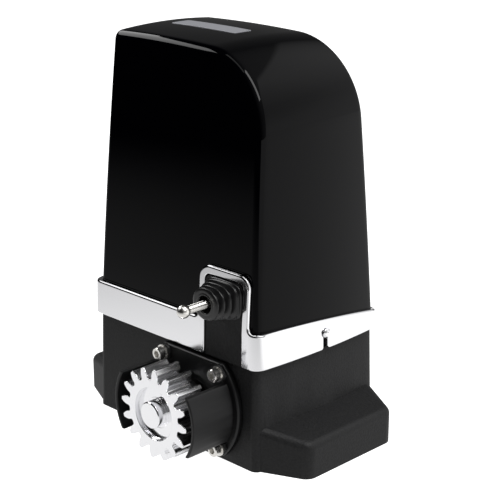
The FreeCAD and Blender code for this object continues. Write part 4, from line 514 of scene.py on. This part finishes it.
def wrap(s, z, offset):
    """Point on the body at a distance s round it from the middle of the front, at a height, out by offset.

    Five runs on each side: half the front, a corner arc, the bowed end, a corner arc, half the back.
    Above CLIMB_Z the front eases out to the cover's face, which carries the arch."""
    s, z = np.broadcast_arrays(np.asarray(s, float), np.asarray(z, float))
    side, s = np.sign(s), np.abs(s)
    side = np.where(side == 0, 1, side)
    half_y, radius, big, big_x, corner_x, swing = body_shape(np.minimum(z, ARCH_Z), offset)
    start = np.concatenate([[0], RUNS])
    part = [(s - start[i]) / (start[i + 1] - start[i]) for i in range(5)]
    front_x = np.where(s < FLAT, s, FLAT + (s - FLAT) * (corner_x - FLAT) / (REF_X - FLAT))
    turn_1 = -np.pi / 2 + part[1] * (np.pi / 2 - swing)
    turn_2 = -swing + part[2] * 2 * swing
    turn_3 = swing + part[3] * (np.pi / 2 - swing)
    corner_y = half_y - radius
    within = [s <= run for run in RUNS[:4]]
    x = np.select(
        within, [front_x, corner_x + radius * np.cos(turn_1), big_x + big * np.cos(turn_2),
                 corner_x + radius * np.cos(turn_3)], corner_x * (1 - part[4]))
    y = np.select(
        within, [-half_y, -corner_y + radius * np.sin(turn_1), big * np.sin(turn_2),
                 corner_y + radius * np.sin(turn_3)], half_y)
    clear = 0.15
    shift = MIDDLE_Y - face_half(z) - offset - clear + half_y
    climb = np.clip((z - CLIMB_Z) / (ARCH_Z - CLIMB_Z), 0, 1)
    near_front = np.clip((RUNS[1] - s) / (RUNS[1] - RUNS[0]), 0, 1)
    y = y + shift * climb * climb * (3 - 2 * climb) * near_front
    return np.stack([side * x, y, z], -1)


# %% The ribbon's two edge lines
def smooth_run(points, count):
    """Evenly spaced points along a broken line."""
    points = np.asarray(points, float)
    length = np.concatenate([[0], np.cumsum(np.hypot(*np.diff(points, axis=0).T))])
    at = np.linspace(0, length[-1], count)
    return np.stack([np.interp(at, length, points[:, i]) for i in (0, 1)], -1)


def arc_line(cx, cz, radius, start, end, count=10):
    """Broken line along an arc given in degrees."""
    turn = np.radians(np.linspace(start, end, count))
    return np.stack([cx + radius * np.cos(turn), cz + radius * np.sin(turn)], -1)


def top_height(s, middle_z=100.0):
    """Height of the band's upper edge: an arc through its heights at the front, mid-end and at the back."""
    y = wrap(s, middle_z, PROUD)[..., 1]
    centre, radius = circle_through(*zip((-BAND_Y, 0.0, BAND_Y), BAND_TOPS))
    return centre[1] + np.sqrt(radius ** 2 - (y - centre[0]) ** 2)


def edge_lines():
    """Matched points of the lower and upper edge, all the way round, starting at the middle of the back."""
    x0, x1, top = WINDOW
    strip, window_r, arch_r, web_r, foot_r = 6.4, 4.5, 11.0, 5.0, 2.2
    half, mouth, slot_top, reach = 2.4, 2.4, 95.0, 9.0
    slot_s = (RUNS[1] + RUNS[2]) / 2 + 1.5
    low, high = [], []

    def pair(lower, upper, count):
        low.append(smooth_run(lower, count)[:-1])
        high.append(smooth_run(upper, count)[:-1])

    def stretch(lower, upper, count):
        """The step's line below and the sinking line above, each from its own start to its own end."""
        s = np.linspace(*upper, count)
        low.append(np.stack([np.linspace(*lower, count), np.full(count, STEP_Z)], -1)[:-1])
        high.append(np.stack([s, top_height(s)], -1)[:-1])

    def plain(start, end, count):
        stretch((start, end), (start, end), count)

    def slot(centre):
        """Up one side of a slot, over its dome and down the other side."""
        left = arc_line(centre - half - mouth, STEP_Z + mouth, mouth, -90, 0, 7)
        dome = arc_line(centre, slot_top, half, 180, 0, 13)
        right = arc_line(centre + half + mouth, STEP_Z + mouth, mouth, 180, 270, 7)
        up, down = np.vstack([left[-1:], dome[:1]]), np.vstack([dome[-1:], right[:1]])
        stops = centre + np.array([-reach, -6.0, -3.5, 3.5, 6.0, reach])
        for line, start, end in zip((left, up, dome, down, right), stops, stops[1:]):
            s = np.linspace(start, end, len(line))
            pair(line, np.stack([s, top_height(s)], -1), len(line))

    def with_slot(start, end, centre):
        """A bowed end, from start to end, with its slot."""
        stretch((start, centre - half - mouth), (start, centre - reach), 26)
        slot(centre)
        stretch((centre + half + mouth, end), (centre + reach, end), 26)

    before, corner = 15.0, RUNS[1]
    plain(-RUNS[4], -RUNS[3], 24)
    plain(-RUNS[3], -RUNS[2], 12)
    with_slot(-RUNS[2], -RUNS[1], -slot_s)
    plain(-RUNS[1], -RUNS[0], 12)
    plain(-RUNS[0], before, 30)
    front_z, left, right = BAND_TOPS[0], x0 - strip, x1 + strip
    foot_z, head_z, web_z = STEP_Z + foot_r, top - window_r, front_z + web_r
    arch_top = top + strip
    spring_z = arch_top - arch_r
    pair([(before, STEP_Z), (x0 - foot_r, STEP_Z)], [(before, front_z), (left - web_r, front_z)], 16)
    pair(arc_line(x0 - foot_r, foot_z, foot_r, -90, 0), arc_line(left - web_r, web_z, web_r, -90, 0), 12)
    pair([(x0, foot_z), (x0, head_z)], [(left, web_z), (left, spring_z)], 20)
    pair(arc_line(x0 + window_r, head_z, window_r, 180, 90),
         arc_line(left + arch_r, spring_z, arch_r, 180, 90), 14)
    pair([(x0 + window_r, top), (x1 - window_r, top)],
         [(left + arch_r, arch_top), (right - arch_r, arch_top)], 12)
    pair(arc_line(x1 - window_r, head_z, window_r, 90, 0),
         arc_line(right - arch_r, spring_z, arch_r, 90, 0), 14)
    pair([(x1, head_z), (x1, foot_z)], [(right, spring_z), (right, web_z)], 20)
    pair(arc_line(x1 + foot_r, foot_z, foot_r, 180, 270),
         arc_line(right + web_r, web_z, web_r, 180, 270), 14)
    pair([(x1 + foot_r, STEP_Z), (corner, STEP_Z)],
         [(right + web_r, front_z), (corner, top_height(corner))], 18)
    with_slot(RUNS[1], RUNS[2], slot_s)
    plain(RUNS[2], RUNS[3], 12)
    plain(RUNS[3], RUNS[4], 24)
    return np.vstack(low), np.vstack(high)


# %% [markdown]
# A plated edge is never sharp: the mould and the plating round it. That round is what the eye sees first, as
# a bright bead with a thin dark line beside it, so it is modelled as a quarter circle along both edge lines.

# %% The band itself
def step_in(line, amount, side):
    """Moves a closed edge line sideways in the unrolled sheet, along the perpendicular of its tangent."""
    period = np.array([[2 * RUNS[4], 0.0]])
    around = np.vstack([line[-1:] - period, line, line[:1] + period])
    tangent = around[2:] - around[:-2]
    tangent /= np.hypot(*tangent.T)[:, None]
    return line + side * amount * np.stack([-tangent[:, 1], tangent[:, 0]], -1)


def band_piece(top_r=1.7, foot_r=0.8, steps=7):
    """Closed loops of points: up the foot's round, over the face, round the top edge, and back inside.

    At a turn t of a quarter circle of radius r, a point lies r (1 - sin t) inside the edge line,
    and stands r (1 - cos t) back from the face."""
    low, high = edge_lines()
    loops = [(low, BURIED)]
    for t in np.linspace(np.pi / 2, 0, steps):
        loops.append((step_in(low, foot_r * (1 - sin(t)), 1), PROUD - foot_r * (1 - cos(t))))
    start, end = step_in(low, foot_r, 1), step_in(high, top_r, -1)
    for share in (0.015, 0.12, 0.3, 0.5, 0.7, 0.88, 0.985):
        loops.append((start + (end - start) * share, PROUD))
    for t in np.linspace(0, np.pi / 2, steps):
        loops.append((step_in(high, top_r * (1 - sin(t)), -1), PROUD - top_r * (1 - cos(t))))
    for share in (0.0, 0.35, 0.7):
        loops.append((high + (low - high) * share, BURIED))
    points = np.stack([wrap(line[:, 0], line[:, 1], offset) for line, offset in loops])
    points = np.concatenate([points, points[:1]])
    rows, columns = points.shape[:2]
    faces = grid_faces(rows, columns, wrap=True)
    count = (rows - 1) * columns
    return points.reshape(-1, 3)[:count], faces % count


points, faces = band_piece()
band = make_piece("chrome_band", points, faces, "cover", chrome_plate)
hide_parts("trim_band")

# %% [markdown]
# The boot is moulded rubber. Each pleat swells to a rounded crest and falls to a tight valley; the front is a
# round disc with a lip round its hole, and towards the wall the section turns into a rounded rectangle.

# %% Rubber boot
LEVER = (57.7, 130.5)
BOOT_FRONT, BOOT_BACK, RIDGE_PITCH = -87.0, -67.7, 4.9


def boot_profile():
    """Stations along the boot: depth, half width, half height and squareness, from the hole out and back."""
    rows = [
        (-79.0, 6.2, 6.2, 2.0), (-83.0, 6.4, 6.4, 2.0), (-86.0, 6.5, 6.5, 2.0), (-86.7, 6.7, 6.7, 2.0),
        (BOOT_FRONT, 7.2, 7.2, 2.0), (-86.9, 7.8, 7.8, 2.0), (-86.65, 8.3, 8.3, 2.0), (-86.7, 9.3, 9.1, 2.0),
        (-86.75, 10.6, 10.1, 2.02), (-86.6, 11.7, 10.9, 2.04)]
    crest_r, valley_r, depth = 0.65, 0.5, 3.5
    squareness = (2.08, 2.3, 2.7, 3.3)
    widths, heights = (13.2, 14.6, 16.2, 17.9), (12.2, 12.75, 13.4, 14.0)
    for index in range(4):
        y = BOOT_FRONT + 1.5 + index * RIDGE_PITCH
        for turn in np.radians(np.linspace(-80, 78, 9)):
            drop = crest_r * (1 - np.cos(turn))
            rows.append((
                y + crest_r * np.sin(turn), widths[index] - drop, heights[index] - drop, squareness[index]))
        if index < 3:
            mean = [(kind[index] + kind[index + 1]) / 2 for kind in (widths, heights, squareness)]
            for turn in np.radians(np.linspace(-70, 70, 5)):
                rise = valley_r * (1 - np.cos(turn)) - depth
                valley_y = y + RIDGE_PITCH * 0.56 + valley_r * np.sin(turn)
                rows.append((valley_y, mean[0] + rise, mean[1] + rise, mean[2]))
    rows += [
        (BOOT_BACK - 1.2, 16.4, 12.4, 3.5), (BOOT_BACK - 1.0, 18.0, 13.9, 3.7),
        (BOOT_BACK - 0.7, 18.7, 14.3, 3.9), (BOOT_BACK, 18.9, 14.4, 4.0)]
    return np.array(rows)


def boot_piece(count=144):
    """A superellipse at each station: half sizes times cos and sin, each raised to 2 / squareness."""
    depth, wide, high, square = boot_profile().T[:, :, None]
    turn = np.linspace(0, 2 * np.pi, count, endpoint=False)[None]
    c, s = np.cos(turn), np.sin(turn)
    x = LEVER[0] + wide * np.sign(c) * np.abs(c) ** (2 / square)
    z = LEVER[1] + high * np.sign(s) * np.abs(s) ** (2 / square)
    points = np.stack([x, np.broadcast_to(depth, x.shape), z], -1)
    return points, grid_faces(len(depth), count, wrap=True)


points, faces = boot_piece()
boot = make_piece("rubber_boot", points, faces, None, boot_rubber)
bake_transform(boot)
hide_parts("bellows")

# %% [markdown]
# The lever is a closely wound spring: wire 0.9 mm thick, turn against turn, with a plated ball on its end.
# A tube whose radius ripples once per turn, with the ripple climbing like a screw thread, gives those turns.

# %% Spring rod
def tube(centre, depth, radius, turn):
    """Loops round an axis along Y: each point is the centre plus its radius times (cos, sin) of its turn."""
    x, y, z = np.broadcast_arrays(centre[0] + radius * np.cos(turn), depth, centre[1] + radius * np.sin(turn))
    return np.stack([x, y, z], -1), grid_faces(*x.shape, wrap=True)


def spring_piece(radius=3.3, wire=0.9, start=-103.0, end=-60.0, around=36):
    """Radius plus a ripple: the ripple's phase is the distance along the rod over the wire, plus the turn."""
    steps = int((end - start) / wire * 8)
    depth = np.linspace(start, end, steps)[:, None]
    turn = np.linspace(0, 2 * np.pi, around, endpoint=False)[None]
    phase = 2 * np.pi * depth / wire + turn
    groove = 0.2
    reach = radius - groove + groove * np.abs(np.cos(phase / 2))
    return tube(LEVER, depth, reach, turn)


points, faces = spring_piece()
spring = make_piece("lever_spring", points, faces, "limit_lever", bright_plate)
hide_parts("limit_rod")

# %% [markdown]
# The pinion: 16 teeth of module 4. A tooth's flank is an involute, the curve that the end of a taut thread
# draws as it unwinds from the base circle. Loops of points run round the gear: the bore, the recess, the
# tooth outline in front and behind, and the hub. Small chamfers sit on the tooth edges.

# %% Pinion
MODULE, TEETH, PHASE = 4.0, 16, radians(86.05)
PINION_FRONT, PINION_BACK = -111.7, -87.7
BORE_R, HUB_R, RECESS_R, RECESS_Y = 12.0, 19.0, 20.6, PINION_FRONT + 4.5
CHAMFER, BACKLASH = 0.2, 0.08


def tooth_outline(shrink=0.0, flank_points=9, arc_count=5):
    """Radius and angle round the gear. On a flank, half the tooth's angle at radius r is
    half the angle on the pitch circle + inv(20 deg) - inv(acos(base / r)), where inv(a) = tan a - a.
    Between the flanks the root dips by (1 - (1 - u)^3)^(1/3), steep at the flank and flat in the middle;
    the tip's corners are rounded by round_r."""
    round_r, slant, pressure = 0.45, 1.06, radians(20)
    pitch_r = MODULE * TEETH / 2
    base_r = pitch_r * cos(pressure)
    tip_r, root_r = pitch_r + MODULE - shrink, pitch_r - 1.25 * MODULE - shrink

    def roll(radius):
        turn = np.arccos(np.minimum(1.0, base_r / radius))
        return np.tan(turn) - turn

    half_pitch = np.pi / (2 * TEETH) - (BACKLASH + shrink * slant) / pitch_r
    radius = np.linspace(base_r + 0.3, tip_r - round_r, flank_points)
    half = half_pitch + roll(pitch_r) - roll(radius)
    turn = np.linspace(0, np.pi / 2, arc_count + 1)[1:]
    corner = tip_r - round_r + round_r * np.sin(turn)
    corner_half = half[-1] - round_r * (1 - np.cos(turn)) / tip_r
    top_half = np.array([corner_half[-1] * 0.5])
    rise_r = np.concatenate([radius, corner, [tip_r]])
    rise_half = np.concatenate([half, corner_half, top_half])
    share = np.array([0.02, 0.06, 0.13, 0.24, 0.4, 0.66, 1.0])
    dip_angle = half[0] + (np.pi / TEETH - half[0]) * share
    dip_r = radius[0] - (radius[0] - root_r) * (1 - (1 - share) ** 3) ** (1 / 3)
    right_r = np.concatenate([[tip_r], rise_r[::-1], dip_r])
    right_a = np.concatenate([[0.0], rise_half[::-1], dip_angle])
    left_r, left_a = right_r[1:-1][::-1], -right_a[1:-1][::-1]
    one_r, one_a = np.concatenate([left_r, right_r]), np.concatenate([left_a, right_a])
    step = 2 * np.pi / TEETH
    return np.tile(one_r, TEETH), (one_a[None] + PHASE + step * np.arange(TEETH)[:, None]).ravel()


def pinion_piece():
    """One closed grid: its loops go from the bore's back over hub, teeth and recess to the bore again."""
    full_r, full_a = tooth_outline()
    small_r, small_a = tooth_outline(CHAMFER)
    teeth_back, teeth_front = PINION_BACK - CHAMFER, PINION_FRONT + CHAMFER
    loops = []

    def circles(profile):
        for radius, y in profile:
            loops.append((np.full(len(full_a), radius), full_a, y))

    def ring(inner, y, shares):
        """Loops on a flat face, between a circle and the small tooth outline."""
        for share in shares:
            loops.append((inner + (small_r - inner) * share, small_a, y))

    circles([
        (BORE_R, -75.5), (HUB_R - 0.6, -75.5), (HUB_R - 0.2, -75.6), (HUB_R, -76.0), (HUB_R, teeth_back),
        (HUB_R, PINION_BACK)])
    ring(HUB_R, PINION_BACK, (0.3, 0.97, 1.0))
    for share in (0.0, 0.02, 0.5, 0.98, 1.0):
        loops.append((full_r, full_a, teeth_back + (teeth_front - teeth_back) * share))
    ring(RECESS_R + 0.3, PINION_FRONT, (1.0, 0.97, 0.5, 0.03, 0.0))
    circles([
        (RECESS_R, PINION_FRONT + 0.3), (RECESS_R, PINION_FRONT + 0.45), (RECESS_R, RECESS_Y - 0.2),
        (RECESS_R - 0.1, RECESS_Y - 0.05), (RECESS_R - 0.25, RECESS_Y), (RECESS_R - 0.5, RECESS_Y),
        (BORE_R + 0.4, RECESS_Y), (BORE_R + 0.05, RECESS_Y), (BORE_R, RECESS_Y + 0.05),
        (BORE_R, RECESS_Y + 0.4), (BORE_R, -80.0)])
    radius, turn = np.array([loop[:2] for loop in loops]).transpose(1, 0, 2)
    points, _ = tube(AXIS, np.array([[loop[2]] for loop in loops]), radius, turn)
    points = points.reshape(-1, 3)
    return points, grid_faces(len(loops) + 1, len(full_a), wrap=True) % len(points)


points, faces = pinion_piece()
pinion = make_piece("pinion_teeth", points, faces, "output", plated_steel)
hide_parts("pinion")

# %% [markdown]
# The output shaft is turned steel. Its nose, thinner than the rest, stands 3.6 mm out of the pinion's recess
# and has a small chamfer; behind the pinion follow the seats of the seal, the bearings and the worm wheel.

# %% Output shaft
SHAFT = [
    (-115.3, 0.02), (-115.3, 9.3), (-115.3, 9.5), (-115.25, 9.65), (-114.55, 10.35), (-114.4, 10.4),
    (-114.2, 10.4), (-107.5, 10.4), (-107.25, 10.4), (-107.2, 10.45), (-107.2, 10.7), (-107.2, 11.7),
    (-107.2, 11.9), (-107.1, 12.0), (-106.8, 12.0), (-57.7, 12.0), (-57.6, 12.0), (-57.5, 12.46),
    (-57.3, 12.46), (-42.0, 12.46), (-41.7, 14.0), (-19.1, 14.0), (-19.0, 17.0), (-13.1, 17.0),
    (-13.0, 14.0), (5.0, 14.0), (5.1, 13.0), (12.6, 13.0), (12.7, 9.96), (25.9, 9.96), (26.0, 9.8),
    (26.0, 4.5), (15.0, 4.4), (14.9, 0.02),
]


def shaft_piece(profile, count=96):
    """A turned piece: each depth and radius of the profile is one loop round the output's axis."""
    turn = np.linspace(0, 2 * np.pi, count, endpoint=False)[None]
    depth, radius = np.array(profile).T[:, :, None]
    points, faces = tube(AXIS, depth, radius, turn)
    return points, faces[:, ::-1]


points, faces = shaft_piece(SHAFT)
shaft = make_piece("turned_shaft", points, faces, "output", turned_steel)
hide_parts("output_shaft")

# %% [markdown]
# On the top sits a plain brushed aluminium plate, 70 by 18.5 mm, stuck on the crowned surface. Brushing
# leaves lines along it, drawn about half a millimetre apart so that they show. It is bare: a plate like this
# needs no lettering to read as what it is.

# %% Bare plate
def top_surface(x, y):
    """Height of the cover's top at a place: the top arc's height, plus the crown."""
    arch = cover_outline()[0][60:112]
    order = np.argsort(arch[:, 0])
    return np.interp(x, arch[order, 0], arch[order, 1]) + crown(y)


def plate_piece(centre=(-25.5, 1.0), size=(70.0, 18.5), corner=1.6, thick=0.7):
    """A grid squeezed into a rounded rectangle, laid on the top, with a second layer above it."""
    u, v = np.meshgrid(np.linspace(-1, 1, 61), np.linspace(-1, 1, 21))
    x, y = u * size[0] / 2, v * size[1] / 2
    flat_x, flat_y, sunk = size[0] / 2 - corner, size[1] / 2 - corner, 0.3
    over_x = np.clip(np.abs(x) - flat_x, 0, None) / corner
    over_y = np.clip(np.abs(y) - flat_y, 0, None) / corner
    reach = np.hypot(over_x, over_y)
    pull = np.where(reach > 0, np.maximum(over_x, over_y) / np.maximum(reach, 1e-9), 1.0)
    x = np.sign(x) * (np.minimum(np.abs(x), flat_x) + over_x * pull * corner) + centre[0]
    y = np.sign(y) * (np.minimum(np.abs(y), flat_y) + over_y * pull * corner) + centre[1]
    ground = np.stack([x, y, top_surface(x, y) - sunk], -1)
    roof = ground + [0, 0, thick]
    rows, columns = x.shape
    faces = grid_faces(rows, columns)
    index = np.arange(rows * columns).reshape(rows, columns)
    loop = np.concatenate([index[0], index[1:, -1], index[-1, -2::-1], index[-2:0:-1, 0]])
    count = rows * columns
    wall = np.stack([loop, np.roll(loop, -1), np.roll(loop, -1) + count, loop + count], -1)
    return (np.concatenate([ground.reshape(-1, 3), roof.reshape(-1, 3)]),
            np.concatenate([faces[:, ::-1], faces + count, wall]))


brushed_plate, tree, shader, place = finish("brushed aluminium plate", "#95969b", 0.4, 0.4)
stretched = add(tree, "Mapping", {"Scale": (30.0, 1800.0, 30.0)}, {"Vector": place})
noise = add(tree, "TexNoise", {"Scale": 1.0, "Detail": 2.0}, {"Vector": stretched})
bump = add(tree, "Bump", {"Strength": 0.3, "Distance": 0.02 * MM}, {"Height": noise})
tree.links.new(bump.outputs["Normal"], shader.inputs["Normal"])
points, faces = plate_piece()
plate = make_piece("bare_plate", points, faces, "cover", brushed_plate)
bevel(plate, 0.2)

# %% [markdown]
# The stage: a pale floor, a white surround for the eye, and soft lights. A gloss black cover shows only what
# it mirrors, so the surround is dim to mirrors and the softboxes draw the highlights on its edges. Chrome
# would burn out in light that strong, so it has dimmer softboxes of its own in the same places. A light path
# tells the eye's rays from those of a mirror, and each gets a floor and a surround of its own.

# %% Floor
WHITE = (1.0, 1.0, 1.0, 1.0)
bpy.ops.mesh.primitive_plane_add(size=9.0, location=(0, 0, -0.0002))
floor = bpy.context.object
floor.name = "pale_floor"
pale, tree, shader, place = finish("pale floor", "#c4c4c4", 0.0, 0.9, {"Specular IOR Level": 0.1})
out = tree.nodes["Material Output"]
seen = add(tree, "LightPath")
lifted = add(tree, "MapRange", {"To Min": 0.2, "To Max": 1.0}, {"Value": seen.outputs["Is Camera Ray"]})
glow = add(tree, "Emission", {"Color": WHITE}, {"Strength": lifted})
mixed = add(tree, "AddShader", None, {0: shader, 1: glow})
# Painted pool of light: to mirrors the floor glows brightest near the object, fades out by about 2 m, and
# glows brighter towards the back right, where lamps would light it.
reach = add(tree, "VectorMath", {"operation": "LENGTH"}, {0: place}).outputs["Value"]
far = add(tree, "MapRange", {"From Min": 0.3, "From Max": 2.05, "To Min": 0.6, "To Max": 0.0,
                             "interpolation_type": "SMOOTHSTEP"}, {"Value": reach})
near = add(tree, "MapRange", {"From Min": 0.15, "From Max": 0.65, "To Min": 0.36, "To Max": 0.0,
                              "interpolation_type": "SMOOTHSTEP"}, {"Value": reach})
both = add(tree, "Math", {"operation": "ADD"}, {0: far, 1: near})
across = add(tree, "VectorMath", {"operation": "DOT_PRODUCT", 1: (0.7, 0.7, 0.0)}, {0: place})
side = add(tree, "MapRange", {"From Min": -0.05, "From Max": 0.25, "To Min": 0.0, "To Max": 1.3},
           {"Value": across.outputs["Value"]})
bright = add(tree, "Math", {"operation": "MAXIMUM"}, {0: both, 1: side})
painted_pool_glow = add(tree, "Emission", {"Color": WHITE}, {"Strength": bright})
choose = add(tree, "MixShader", None, {0: seen.outputs["Is Glossy Ray"], 1: mixed, 2: painted_pool_glow})
tree.links.new(choose.outputs["Shader"], out.inputs["Surface"])
floor.data.materials.append(pale)

# %% Surround
world = bpy.data.worlds.new("white surround")
bpy.context.scene.world = world
world.use_nodes = True
tree = world.node_tree
background = tree.nodes["Background"]
background.inputs["Color"].default_value = WHITE
seen = add(tree, "LightPath")
soft = add(tree, "Math", {"operation": "MULTIPLY", 1: 0.47}, {0: seen.outputs["Is Diffuse Ray"]})
base = add(tree, "Math", {"operation": "ADD"}, {0: seen.outputs["Is Camera Ray"], 1: soft})
direction = add(tree, "TexCoord").outputs["Generated"]
toward = add(tree, "VectorMath", {"operation": "DOT_PRODUCT", 1: (0.75, 0.433, 0.5)}, {0: direction})
wall = add(tree, "MapRange", {"From Min": 0.2, "From Max": 0.9, "To Min": 0.0, "To Max": 1.55},
           {"Value": toward.outputs["Value"]})
parts = add(tree, "SeparateXYZ", None, {"Vector": direction})
lift = add(tree, "MapRange", {"From Min": 0.4, "From Max": 0.72, "To Min": 0.7, "To Max": 1.0},
           {"Value": parts.outputs["Z"]})
sheet = add(tree, "VectorMath", {"operation": "DOT_PRODUCT", 1: (0.224, 0.956, -0.188)}, {0: direction})
edge = add(tree, "MapRange", {"From Min": 0.475, "From Max": 0.495, "To Min": 0.38, "To Max": 1.0},
           {"Value": sheet.outputs["Value"]})
low = add(tree, "MapRange", {"From Min": 0.0, "From Max": 0.3, "To Min": 1.32, "To Max": 1.0},
          {"Value": parts.outputs["Z"]})
back_room = add(tree, "MapRange", {"From Min": 0.2, "From Max": 0.5, "To Min": 0.0, "To Max": 0.08},
                {"Value": parts.outputs["Y"]})
for share in (lift, low, edge):
    wall = add(tree, "Math", {"operation": "MULTIPLY"}, {0: wall, 1: share})
shine = add(tree, "Math", {"operation": "MAXIMUM"}, {0: wall, 1: back_room})
glossy = add(tree, "Math", {"operation": "MULTIPLY"}, {0: shine, 1: seen.outputs["Is Glossy Ray"]})
strength = add(tree, "Math", {"operation": "ADD"}, {0: base, 1: glossy})
tree.links.new(strength.outputs["Value"], background.inputs["Strength"])
print("surround nodes:", len(tree.nodes))


# %% Lights
def turn_to(direction):
    """The turn that points a lamp's or a camera's -Z along a direction, with its Y upwards."""
    return Vector(direction).to_track_quat("-Z", "Y").to_euler()


def softbox(name, place, size, radiance, aim=(0, 0, 0.17)):
    """A rectangular area light that faces the object; its power is radiance x pi x area."""
    lamp = bpy.data.lights.new(name, "AREA")
    lamp.shape = "RECTANGLE"
    lamp.size, lamp.size_y = size
    lamp.energy = radiance * np.pi * size[0] * size[1]
    holder = bpy.data.objects.new(name, lamp)
    bpy.context.scene.collection.objects.link(holder)
    holder.location = place
    holder.rotation_euler = turn_to(np.subtract(aim, place))
    print(name, round(lamp.energy, 1), "W")
    return holder


def flag(lamp, piece, state):
    """Chooses what a lamp reaches, as a card beside it does in a studio: INCLUDE one piece, or EXCLUDE it."""
    group = bpy.data.collections.new(lamp.name + " flag")
    group.objects.link(piece)
    group.collection_objects[0].light_linking.link_state = state
    lamp.light_linking.receiver_collection = group


SOFTBOXES = [
    ("left", (-1.37, -0.37, 1.28), (1.5, 0.52), 7.5, 1.3),
    ("top", (0.8, 0.07, 1.55), (0.57, 1.07), 12.0, 1.5),
]
for name, place, size, radiance, on_chrome in SOFTBOXES:
    flag(softbox(name + " softbox", place, size, radiance), band, "EXCLUDE")
    flag(softbox(name + " softbox on chrome", place, size, on_chrome), band, "INCLUDE")
softbox("small softbox", (-0.1, -0.35, 1.6), (0.75, 0.3), 2.0)

# %% Camera
ROUND, UP = radians(44.863), radians(17.883)
back = np.array([sin(ROUND) * cos(UP), -cos(ROUND) * cos(UP), sin(UP)])
camera_data = bpy.data.cameras.new("camera")
camera_data.lens = 99.12
camera_data.sensor_width = 36.0
camera = bpy.data.objects.new("camera", camera_data)
bpy.context.scene.collection.objects.link(camera)
camera.location = (0.7394, -0.7251, 0.4731)
camera.rotation_euler = turn_to(-back)
bpy.context.scene.camera = camera
bpy.context.scene.view_settings.view_transform = "Standard"
print("camera stands", round(camera.location.length, 3), "m from the object's middle on the floor")
